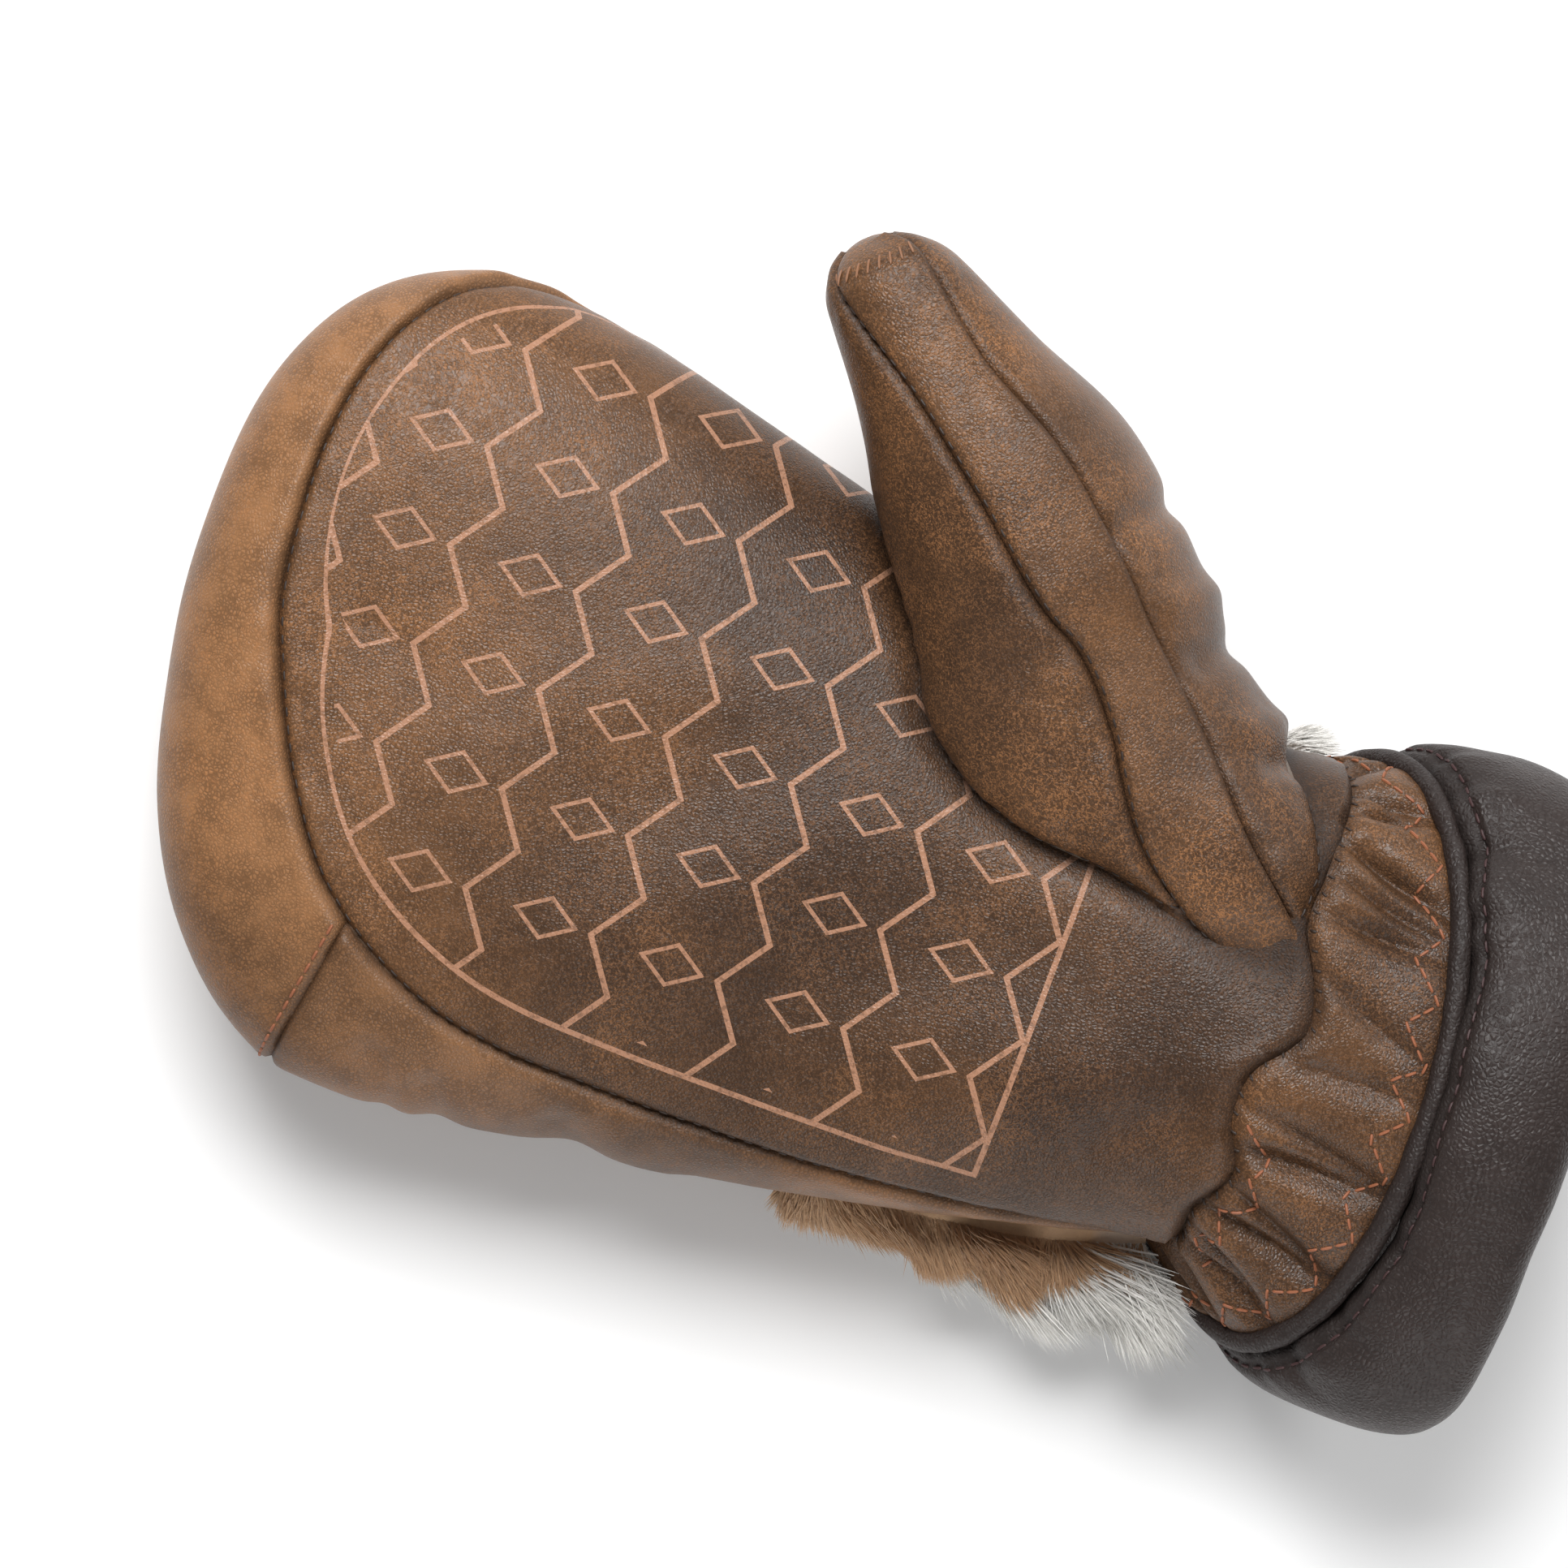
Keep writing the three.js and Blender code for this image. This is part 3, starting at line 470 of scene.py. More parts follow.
def mesh_object(name, points, faces, values=None):
    """A smooth mesh object in the row frame from points in millimetres and faces given as rows of
    vertex numbers; vertices that no face uses and faces that collapse are dropped."""
    faces = np.asarray(faces)
    if faces.shape[1] == 4:
        faces = np.concatenate([faces[:, [0, 1, 2]], faces[:, [0, 2, 3]]])
    a, b, c = faces.T
    faces = faces[(a != b) & (b != c) & (c != a)]
    used, renumbered = np.unique(faces, return_inverse=True)
    faces = renumbered.reshape(-1, 3)
    mesh = bpy.data.meshes.new(name)
    mesh.vertices.add(len(used))
    mesh.vertices.foreach_set("co", ((points[used] + SHIFT) * MM).ravel().astype(np.float32))
    mesh.loops.add(faces.size)
    mesh.loops.foreach_set("vertex_index", faces.ravel().astype(np.int32))
    mesh.polygons.add(len(faces))
    mesh.polygons.foreach_set("loop_start", np.arange(0, faces.size, 3, dtype=np.int32))
    for key, value in (values or {}).items():
        layer = mesh.attributes.new(key, "FLOAT", "POINT")
        layer.data.foreach_set("value", value[used].astype(np.float32))
    mesh.update(calc_edges=True)
    mesh.shade_smooth()
    mesh.set_sharp_from_angle(angle=SHARP_EDGE)
    obj = bpy.data.objects.new(name, mesh)
    bpy.context.scene.collection.objects.link(obj)
    return obj


def leather_piece(panel, name, keep=None, spine=False, pole=False):
    """The leather of a panel: its outer face with relief, its plain inner face, and rims along
    every open edge. spine joins the two halves that meet along the middle line, at v's start, and
    pole makes one point of the last line of v."""
    rows, columns = panel.base.shape[:2]
    number = np.arange(rows * columns).reshape(rows, columns)
    if spine:
        number[:, 0] = np.minimum(number[:, 0], number[::-1, 0])
    if pole:
        number[-1] = number[-1, 0]
    outer = grid_quads(number, panel.loop_u, panel.loop_v)
    inner = outer + rows * columns
    if keep is None:
        keep = np.ones(outer.shape[:2], bool)
    around = rim_quads(outer, inner, keep, panel.loop_u, spine)
    faces = np.concatenate([outer[keep], inner[keep][:, ::-1], around])
    if panel.flip:
        faces = faces[:, ::-1]
    points = np.concatenate([panel.outer().reshape(-1, 3), panel.inner.reshape(-1, 3)])
    values = {}
    for key, value in panel.values.items():
        values[key] = np.concatenate([value.ravel(), value.ravel()])
    values["inside"] = np.repeat([0.0, 1.0], rows * columns)
    return mesh_object(name, points, faces, values)


def dress(obj, look, *nodes, slot=None):
    """Gives a piece its material, lets it ride on the mitten's body, and says what it replaces."""
    obj.data.materials.append(look)
    if nodes:
        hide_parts(*nodes)
    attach(obj, BODY)
    return obj


PANELS = {}
SEAM_SHADE = 1.0  # how far the painted shade of a seam reaches over the leather
WAVER_FADE = 14  # how far from the wrist seam its waver is felt
WAVER = (-2, -2, 2.6, -1, -0.5, 6, 4.5, 0, 0)  # the seam's waver, from the little finger's side
THUMB_INSIDE = -1.5  # a cell whose corners are all this deep inside another piece is dropped
THUMB_ROOT_BARE = 28  # the hand's leather stays whole this near the thumb's root
ROOT_SINK = 2.5  # how deep the thumb's root sinks into the hand

# Soft folds drawn in plan: from x, y to x, y, the bow between, half the width, and the height
PALM_FOLDS = (
    (-150, -20, -95, 25, 6, 11, 0.9),
    (-125, -52, -60, 12, 8, 12, 1.3),
    (-98, -48, -30, -2, 5, 10, -1.0),
    (-62, -50, -14, -18, 4, 9, 0.9),
    (-30, 20, -60, 38, -3, 6, -0.8),
    (-24, -38, -4, -22, 3, 4, -0.6),
)
SIDE_FOLDS = (
    (-145, -60, -136, -74, 1, 3.0, -1.2),
    (-133, -62, -124, -76, -1, 3.5, -1.4),
    (-112, -62, -100, -72, 1, 4.0, -1.3),
    (-100, -58, -84, -66, -2, 5.0, 0.9),
)
THUMB_FOLDS = (
    (-56, 62, -38, 80, 2, 3.0, -1.6),
    (-47, 55, -26, 72, -2, 3.4, 1.4),
    (-36, 46, -16, 62, 2, 3.2, -1.8),
    (-27, 40, -6, 52, -1, 3.2, 1.4),
    (-18, 36, 0, 44, 1, 2.8, -1.6),
)


def waved(t, turn, depth=0.0):
    """The hand with the wrist seam's waver, times exp(-(d / fade)^2) at the distance d from it."""
    point = hand_point(t, turn, depth)
    fade = np.exp(-((plan_x(t, turn) / WAVER_FADE) ** 2))
    point[..., 0] += seam_waver(point) * fade
    return point


def seam_waver(point):
    """How far the palm's wrist seam wavers lengthways, by the place across the palm, from y -48
    to y 24. It fades out from z 56 down to z 44, at the palm's edges."""
    over = np.clip((point[..., 2] - 44) / 12, 0, 1)
    return through(WAVER, (point[..., 1] + 48) / 72) * over


def waves(panel, size, height, seed):
    """Unevenness of stuffed leather: smooth noise, with half as much again at half the size."""
    fine = noise(panel.base, size / 2, seed + 1)
    panel.relief += height * (noise(panel.base, size, seed) + 0.5 * fine)


def puckers(panel, distance, sizes, seed, pitch=5.0):
    """Small puckers where the thread pulls the leather in beside a seam: noise times
    exp(-d / 4) - exp(-d / 1.2) at the distance d from the seam."""
    fade = np.exp(-distance / 4) - np.exp(-distance / 1.2)
    panel.relief += sizes.pucker_height * 1.6 * fade * noise(panel.base, pitch, seed)


def grid_of(u, v):
    """Two lists of values as the two parameters of a grid."""
    return np.meshgrid(u, v, indexing="ij")


def hand_surface():
    """Sample points of everything that the thumb grows out of: hand, wrist and cuff."""
    t, turn = grid_of(np.linspace(0.45, 1, 150), np.linspace(0, 1, 60))
    grids = [hand_point(t, turn)]
    angle = np.linspace(0, 2 * np.pi, 240)
    grids.append(wrist_point(*grid_of(angle, np.linspace(0, 1, 14))))
    grids.append(cuff_point(*grid_of(angle, np.linspace(2 * np.pi, 0, 30))))
    points = [grid.reshape(-1, 3) for grid in grids]
    ways = [grid_normals(grid).reshape(-1, 3) for grid in grids]
    return np.concatenate(points), np.concatenate(ways)


def thumb_surface():
    """Sample points of the whole thumb."""
    grid = thumb_point(*grid_of(np.linspace(0, 0.995, 110), np.linspace(-np.pi, np.pi, 120)))
    return grid.reshape(-1, 3), grid_normals(grid).reshape(-1, 3)


def kept(inside):
    """The cells of a grid that keep at least one corner."""
    return ~(inside[:-1, :-1] & inside[1:, :-1] & inside[1:, 1:] & inside[:-1, 1:])


def inside_thumb(panel, gap):
    """Where a panel is well inside the thumb, except near the thumb's root, which it covers."""
    from_root = (panel.base - THUMB_ROOT) @ THUMB_WAY
    return (gap < THUMB_INSIDE) & (from_root > THUMB_ROOT_BARE)


def closer(count, power=1.3):
    """Places from 0 to 1 that crowd towards 1."""
    return 1 - (1 - np.linspace(0, 1, count)) ** power


def both_ends(count):
    """Places from 0 to 1 that crowd towards both ends: half of 1 - cos(pi s), mixed with s."""
    s = np.linspace(0, 1, count)
    return 0.5 * s + 0.25 * (1 - np.cos(np.pi * s))


def shape_palm(sizes):
    """The palm from the middle line out to its seam: the hand's face with its folds, sunk at the
    outer seam, at the wrist seam and beside the thumb."""
    t = np.linspace(0, 1, 281)[:, None]
    turn = closer(92) * through(PALM_SEAM, t)
    panel = Panel(waved, t + 0 * turn, turn)
    panel.normals[:, 0] = unit(panel.normals[:, 0] + panel.normals[::-1, 0])
    from_wrist = -plan_x(panel.u, panel.v)
    gap = signed_gap(panel.base, *thumb_surface())
    waves(panel, size=42, height=0.45, seed=11)
    panel.relief += strokes(panel.base, PALM_FOLDS)
    panel.relief += seam_section(panel.high_seam, depth=sizes.seam_depth, reach=1.0, roll=0.45)
    puckers(panel, panel.high_seam, sizes, seed=12)
    panel.relief += seam_section(from_wrist, depth=1.1, reach=0.9, roll=0.8)
    puckers(panel, from_wrist, sizes, seed=13, pitch=4.0)
    beside_thumb = np.maximum(gap, 0)
    panel.relief += seam_section(beside_thumb, depth=1.4, reach=2.2, roll=0.3)
    panel.values["inset"] = np.minimum(panel.high_seam, 60)
    # painted shade: darker towards the seams, the wrist seam and the thumb
    nearest = np.minimum(np.minimum(panel.high_seam, from_wrist), beside_thumb)
    panel.values["seam"] = np.exp(-nearest / SEAM_SHADE)
    PANELS["palm"] = panel
    return kept(inside_thumb(panel, gap))


def shape_gusset(sizes, name, start, end, columns):
    """A gusset between the palm's seam and the back's, over a stretch of the outline, sunk along
    both seams, where it meets the other gusset, and beside the thumb."""
    t = np.linspace(start, end, columns)[:, None]
    low, high = through(PALM_SEAM, t), through(BACK_SEAM, t)
    turn = low + (high - low) * both_ends(56)
    panel = Panel(hand_point, t + 0 * turn, turn)
    ends = np.full(panel.base.shape[:2], 50.0)
    if start > 0:
        ends = np.minimum(ends, panel.run)
    if end < 1:
        ends = np.minimum(ends, distances(panel.base, 0, from_end=True))
    gap = signed_gap(panel.base, *thumb_surface())
    waves(panel, size=34, height=0.6, seed=21)
    panel.relief += strokes(panel.base, SIDE_FOLDS)
    panel.relief += seam_section(panel.low_seam, depth=sizes.seam_depth, reach=1.0, roll=0.7)
    panel.relief += seam_section(panel.high_seam, depth=sizes.seam_depth, reach=1.1, roll=0.5)
    panel.relief += seam_section(ends, depth=0.7, reach=0.8, roll=0.3)
    puckers(panel, panel.low_seam, sizes, seed=22)
    puckers(panel, panel.high_seam, sizes, seed=23)
    puckers(panel, ends, sizes, seed=24)
    beside_thumb = np.maximum(gap, 0)
    panel.relief += seam_section(beside_thumb, depth=1.2, reach=2.2, roll=0.3)
    nearest = np.minimum(np.minimum(panel.low_seam, panel.high_seam), np.minimum(ends, beside_thumb))
    # painted shade: darker towards both seams, the other gusset and the thumb
    panel.values["seam"] = np.exp(-nearest / SEAM_SHADE)
    PANELS[name] = panel
    return kept(inside_thumb(panel, gap))


def shape_back(sizes):
    """The back from its seam in to the middle line, with slow waves, sunk at the seam."""
    t = np.linspace(0, 1, 261)[:, None]
    seam = through(BACK_SEAM, t)
    turn = 1 - (1 - seam) * closer(58)
    panel = Panel(hand_point, t + 0 * turn, turn, flip=True)
    panel.normals[:, 0] = unit(panel.normals[:, 0] + panel.normals[::-1, 0])
    waves(panel, size=38, height=0.6, seed=31)
    panel.relief += seam_section(panel.high_seam, depth=sizes.seam_depth, reach=1.8, roll=0.6)
    puckers(panel, panel.high_seam, sizes, seed=32)
    # painted shade: darker towards the seam
    panel.values["seam"] = np.exp(-panel.high_seam / SEAM_SHADE)
    PANELS["back"] = panel
    return panel


# Valleys between the wrist's gathers: place round the wrist in degrees, slant in degrees from the
# palm seam to the cuff, half the width in millimetres, and depth as a share of the gathers'
GATHERS = (
    (22, 6, 2.2, 2.2), (34, -4, 1.8, 1.8), (47, 8, 2.4, 2.4), (58, 3, 1.6, 1.4), (69, -5, 2.0, 1.6),
    (82, 4, 1.6, 0.9), (96, -3, 1.8, 1.0), (108, 3, 1.8, 1.3), (119, -6, 2.2, 2.2), (131, 5, 2.0, 1.8),
    (142, -4, 2.4, 2.4), (153, 6, 2.0, 1.9), (164, -3, 2.2, 2.2), (176, 4, 1.8, 1.7),
    (190, -4, 2.0, 1.8), (204, 5, 2.2, 2.0), (219, -3, 1.8, 1.6), (233, 4, 2.2, 2.0),
    (248, -5, 2.0, 1.8), (263, 4, 2.2, 2.0), (279, -4, 2.0, 1.7), (294, 5, 2.2, 2.0),
    (309, -3, 1.9, 1.8), (324, 4, 2.2, 2.1), (339, -4, 2.0, 1.9), (353, 3, 1.9, 1.8),
    (8, -4, 2.0, 1.9),
)
# Dents in the cuff, which run from its seam over the roll: place in degrees, and depth
CUFF_DENTS = ((38, 2.6), (52, -1.2), (63, 1.4), (140, 1.2), (158, 1.6), (172, 1.0))


def degrees_from(place, angle):
    """How far angles, in radians, are from a place in degrees, from -180 to 180."""
    return (np.degrees(angle) - place + 180) % 360 - 180


def waved_wrist(angle, share, depth=0.0):
    """The wrist strip, whose start follows the palm seam's waver, fading as (1 - share)^2, and
    whose end tucks 1.8 mm under the folded rim, as share^10."""
    point = wrist_point(angle, share, depth)
    point[..., 0] += 1.8 * share**10
    point[..., 0] += seam_waver(point) * (1 - share) ** 2
    return point


def shape_wrist(sizes):
    """The gathered strip round the wrist, puffed as sin(pi share)^0.6 between narrow valleys that
    run lengthways, each depth * exp(-|d / width|^1.5) at the distance d from its middle."""
    angle = np.linspace(0, 2 * np.pi, 540, endpoint=False)[:, None]
    share = both_ends(46)
    panel = Panel(waved_wrist, angle, share, loop_u=True)
    puff = np.sin(np.pi * panel.v) ** 0.6
    valleys = 0
    for place, slant, width, depth in GATHERS:
        d = np.radians(degrees_from(place + slant * panel.v, panel.u)) * WRIST_RADIUS
        valleys = valleys + depth * np.exp(-np.abs(d / width) ** 1.5)
    panel.relief += puff * (sizes.gather_height * 1.3 - sizes.gather_height * valleys)
    waves(panel, size=12, height=0.35, seed=41)
    panel.relief += seam_section(panel.low_seam, depth=1.3, reach=1.5, roll=0.3)
    panel.relief += seam_section(panel.high_seam, depth=0.5, reach=1.8, roll=0.3)
    puckers(panel, panel.low_seam, sizes, seed=42, pitch=3.5)
    puckers(panel, panel.high_seam, sizes, seed=43, pitch=3.5)
    # painted shade: darker towards both seams
    panel.values["seam"] = np.exp(-np.minimum(panel.low_seam, panel.high_seam) / SEAM_SHADE)
    # painted shade: how deep a point lies in a valley between the gathers
    panel.values["valley"] = np.clip(valleys * puff / 2, 0, 1)
    PANELS["wrist"] = panel


def rim_point(angle, turn, depth=0.0):
    """The folded rim: a circle carried round the wrist between its strip and the cuff."""
    radius = RIM_RADIUS + GAP - depth * 0.4
    forward = RIM_RADIUS + GAP + radius * np.cos(turn)
    return ring_point(angle, forward, RIM_RADIUS - LEATHER / 2 + radius * np.sin(turn))


def shape_rim():
    """The folded rim, with shallow puckers."""
    angle = np.linspace(0, 2 * np.pi, 480, endpoint=False)[:, None]
    turn = np.linspace(0, -2 * np.pi, 14, endpoint=False)
    panel = Panel(rim_point, angle, turn, loop_u=True, loop_v=True)
    panel.relief += 0.25 * noise(panel.base, 5, 51) + 0.12 * noise(panel.base, 2.5, 52)
    # a fixed share, 0.3, of the seam darkening, which makes the whole rim evenly darker
    panel.values["seam"] = np.full(panel.base.shape[:2], 0.3)
    PANELS["rim"] = panel


def shape_cuff():
    """The padded roll with slow waves. At the distance d from its seam it has puckers that die
    away as exp(-d / 7), a groove of exp(-((d - 1.6) / 0.9)^2), and dents that widen with d."""
    angle = np.linspace(0, 2 * np.pi, 480, endpoint=False)[:, None]
    turn = np.linspace(0, -2 * np.pi, 84, endpoint=False)
    panel = Panel(cuff_point, angle, turn, loop_u=True, loop_v=True)
    from_seam = CUFF_WIDTH / 2 * (1 + signed_power(np.cos(panel.v), 2 / CUFF_SQUARENESS))
    run = panel.u * WRIST_RADIUS
    pucker = noise(vectors(run, from_seam * 0.12, 0 * run), 3.2, 61)
    outward = np.clip(np.sin(panel.v) + 0.6, 0, 1)
    panel.relief += 0.9 * pucker * np.exp(-from_seam / 7) * outward
    panel.relief -= 0.9 * np.exp(-(((from_seam - 1.6) / 0.9) ** 2)) * outward
    waves(panel, size=34, height=1.5, seed=62)
    waves(panel, size=13, height=0.3, seed=63)
    for place, depth in CUFF_DENTS:
        off = np.radians(degrees_from(place, panel.u)) * WRIST_RADIUS
        dent = np.exp(-((off / (2.2 + from_seam * 0.25)) ** 2) - from_seam / 16)
        panel.relief -= depth * dent * outward
    # painted shade: darker towards the cuff's seam and its groove
    panel.values["seam"] = np.exp(-from_seam / 3.0)
    PANELS["cuff"] = panel


def strip_edges(share):
    """The turns round the thumb of the strip's two seams."""
    return np.radians(through(STRIP_RIGHT, share)), np.radians(through(STRIP_LEFT, share))


def shape_thumb(sizes):
    """The thumb's panels: inner towards the fingers, outer, the strip between them, and the tip
    piece that wraps over the end. The side pieces have folds and sink at every seam; the others
    have a raised edge of exp(-(d / 2.2)^2) beside their first seam. Gives the cells that each
    keeps outside the hand."""
    share = np.linspace(0, THUMB_CAP_SEAM, 230)[:, None]
    right, left = strip_edges(share)
    cap_share = np.linspace(THUMB_CAP_SEAM, 1, 10)[:, None]
    strip_share = np.linspace(0, STRIP_END, 220)[:, None]
    tongue_share = np.linspace(STRIP_END, THUMB_CAP_SEAM, 26)[:, None]
    grids = {
        "thumb_inner": (share, left + (np.pi - left) * both_ends(72)),
        "thumb_outer": (share, -np.pi + (right + np.pi) * both_ends(84)),
        "thumb_strip": (strip_share, between(strip_share, 30)),
        "thumb_tongue": (tongue_share, between(tongue_share, 30)),
    }
    hand = hand_surface()
    keep = {}
    for name, (u, v) in grids.items():
        panel = Panel(thumb_point, u + 0 * v, v)
        gap = signed_gap(panel.base, *hand)
        beside_hand = np.maximum(gap, 0)
        low, high = panel.low_seam, panel.high_seam
        waves(panel, size=24, height=0.35, seed=71)
        panel.sink(ROOT_SINK * (1 - smooth_step(panel.u, 0, 0.08)))
        if name in ("thumb_inner", "thumb_outer"):
            panel.relief += strokes(panel.base, THUMB_FOLDS)
            first = seam_section(low, depth=1.2, reach=1.0, roll=0.5)
            panel.relief += first + seam_section(high, depth=1.2, reach=1.0, roll=0.4)
            panel.relief += seam_section(beside_hand, depth=1.6, reach=1.6, roll=0.9)
            puckers(panel, low, sizes, seed=72, pitch=4.0)
            puckers(panel, high, sizes, seed=73, pitch=4.0)
            puckers(panel, beside_hand, sizes, seed=74, pitch=4.0)
        else:
            panel.relief += seam_section(high, depth=1.1, reach=0.9, roll=0.3)
            panel.relief += 0.9 * np.exp(-((low / 2.2) ** 2)) - 0.5 * np.exp(-((low / 0.5) ** 2))
        nearest = np.minimum(np.minimum(low, high), beside_hand)
        # painted shade: darker towards the seams and the hand
        panel.values["seam"] = np.exp(-nearest / SEAM_SHADE)
        panel.gap = gap
        PANELS[name] = panel
        keep[name] = kept(gap < THUMB_INSIDE)
    cap = Panel(thumb_point, cap_share, np.linspace(-np.pi, np.pi, 97))
    cap.values["seam"] = np.zeros(cap.base.shape[:2])
    PANELS["thumb_cap"] = cap
    return keep


def between(share, count):
    """Turns round the thumb from the strip's right seam to its left."""
    right, left = strip_edges(share)
    return right + (left - right) * both_ends(count)


def spaced(points, ways, pitch, first=0.0, last=0.0):
    """Places at equal steps along a line of points: the place, the direction of the line there, and
    the direction out of the leather. first and last are left free at the two ends."""
    step = np.linalg.norm(np.diff(points, axis=0), axis=1)
    run = np.concatenate([[0], np.cumsum(step)])
    at = np.arange(first + pitch / 2, run[-1] - last, pitch)

    def read(values):
        return np.stack([np.interp(at, run, column) for column in values.T], -1)

    up = unit(read(ways))
    along = read(np.gradient(points, axis=0))
    along = unit(along - up * (along * up).sum(1, keepdims=True))
    return read(points), along, up


def threads(name, groups, thickness, look, slot):
    """Short threads over the leather, one for each place: a tube of six sides whose middle line
    rises as rise * (1 - s^2) and whose radius closes at its ends as sqrt(1 - s^8)."""
    s = np.array([-1, -0.93, -0.6, 0, 0.6, 0.93, 1])
    radius = thickness / 2 * np.sqrt(np.maximum(1 - s**8, 0))
    around = np.linspace(0, 2 * np.pi, 6, endpoint=False)
    number = np.arange(s.size * around.size).reshape(s.size, -1)
    number[0], number[-1] = number[0, 0], number[-1, 0]
    points, faces, count = [], [], 0
    quads = grid_quads(number, loop_v=True).reshape(-1, 4)
    for (centres, ways, ups), length, rise in groups:
        side = np.cross(ways, ups)
        middle = centres[:, None] + ways[:, None] * (s * length / 2)[:, None]
        middle = middle + ups[:, None] * (rise * (1 - s**2))[:, None]
        turned = np.cos(around)[:, None] * side[:, None, None]
        turned = turned + np.sin(around)[:, None] * ups[:, None, None]
        tube = middle[:, :, None] + radius[:, None, None] * turned
        first = count + number.size * np.arange(len(centres))
        points.append(tube.reshape(-1, 3))
        faces.append((quads + first[:, None, None]).reshape(-1, 4))
        count += number.size * len(centres)
    points = np.concatenate(points)
    points[:, 2] = np.maximum(points[:, 2], FLOOR_CLEAR)
    obj = mesh_object(name, points, np.concatenate(faces))
    return dress(obj, look, slot=slot)


def crossing(place, pitch_way):
    """The same places with each thread laid across the seam instead of along it."""
    centres, ways, ups = place
    return centres, unit(np.cross(ups, ways) + pitch_way * ways), ups


def zigzag(run, height, period):
    """A zigzag's offset from its middle line by the distance run along it."""
    phase = (run / period) % 1
    return height * (np.abs(phase - 0.5) * 4 - 1)


def sew(sizes, looks):
    """All the stitching that shows, grouped by the colour of its thread. Each group is a row of
    places, the length of a stitch, and how far its middle rises over its ends."""
    palm, wrist, cuff = PANELS["palm"], PANELS["wrist"], PANELS["cuff"]
    strip, inner, outer = PANELS["thumb_strip"], PANELS["thumb_inner"], PANELS["thumb_outer"]
    tip, side = PANELS["tip_gusset"], PANELS["side_gusset"]
    size = sizes.stitch_length

    columns = len(wrist.u)
    run = wrist.run[:, wrist.run.shape[1] // 2]
    near_cuff = spaced(*wrist.beside(5.2 + zigzag(run, height=2.6, period=10.5)), size + 0.5)
    low = slice(int(columns * 0.31), int(columns * 0.47))
    line, ways = wrist.beside(5.0 + zigzag(run, height=2.2, period=9.5), high=False)
    near_palm = spaced(line[low], ways[low], size + 0.5)
    join = np.linspace(2, side.base.shape[1] - 3, 120)
    gusset_join = spaced(*tip.place(np.full(120, 2.0), join), size + 0.7)
    rust = [(near_cuff, size, 0.1), (near_palm, size, 0.1), (gusset_join, size, 0.1)]
    threads("stitches_rust", rust, sizes.stitch_thickness, looks["rust"], "wrist_leather")

    wrist_seam = spaced(*wrist.beside(0.7, high=False), 3.4)
    across_tip = np.linspace(1, strip.base.shape[1] - 2, 40)
    strip_end = spaced(*strip.place(np.full(40, len(strip.u) - 2.0), across_tip), 2.0)
    tan = [(crossing(strip_end, 0.3), 3.0, 0.2)]
    threads("stitches_tan", tan, sizes.stitch_thickness * 0.8, looks["tan"], "thumb_leather")

    # The row runs where the cosine of the cuff's turn is -0.87, a little out from its seam
    beside_seam = 2 * np.pi - math.acos(-0.87)
    turn = np.full(columns, beside_seam / (2 * np.pi) * cuff.base.shape[1])
    cuff_line = cuff.place(np.linspace(0, len(cuff.u) - 1.01, columns), turn)
    row = [(spaced(*cuff_line, size + 1.1), size, 0.12)]
    threads("stitches_cuff", row, sizes.stitch_thickness, looks["cuff"], "cuff_leather")

    dark = [
        (crossing(wrist_seam, 0.4), 1.4, 0.1),
        (spaced(*palm.beside(1.0), size + 1.0, 4, 4), size * 0.8, 0.05),
        (spaced(*strip.beside(0.9), size + 0.8), size * 0.8, 0.05),
        (spaced(*junction(inner), size + 0.8), size * 0.8, 0.1),
        (spaced(*junction(outer), size + 0.8), size * 0.8, 0.1),
    ]
    threads("stitches_dark", dark, sizes.stitch_thickness * 0.8, looks["dark"], "palm_leather")


def junction(panel):
    """The line where a thumb panel meets the hand: for each column, the place nearest the root
    beyond which the whole column is outside."""
    inside = panel.gap < 0.6
    last = len(inside) - 1 - np.argmax(inside[::-1], axis=0)
    columns = np.flatnonzero(inside.any(0) & (last < len(inside) - 2))
    i = last[columns] + 1.0
    smooth = np.convolve(np.pad(i, 2, mode="edge"), np.ones(5) / 5, mode="valid")
    return panel.place(smooth, columns.astype(float))


FUR_SPAN = 0.16  # how far the fur's hide goes along the outline from each of its ends
FUR_THIN = -62  # the x up to which the fur is thin
HIDE_FULL = -14  # the x from which its hide is at its fullest
STRANDS_FULL = -8  # the x from which its white strands are at their longest
HIDE_THICKNESS = 4
HIDE_GROWTH = 11.5  # what the hide gains between those two
LUMP_HEIGHT = 1.8
STRAND_RINGS = ((-0.1, 1.0), (0.5, 0.8))  # place along a strand, and share of its thickness
# How the two furs differ: the strands' length as a share of the pile, what it gains where the fur
# is full, how far they bend along the mitten, their thickness, and the seed of their places
FURS = {
    "fur_brown": {"reach": 0.4, "gain": 0.0, "pull": 0.25, "thick": 1.0, "seed": 7},
    "fur_white": {"reach": 0.45, "gain": 0.12, "pull": 0.7, "thick": 1.35, "seed": 8},
}


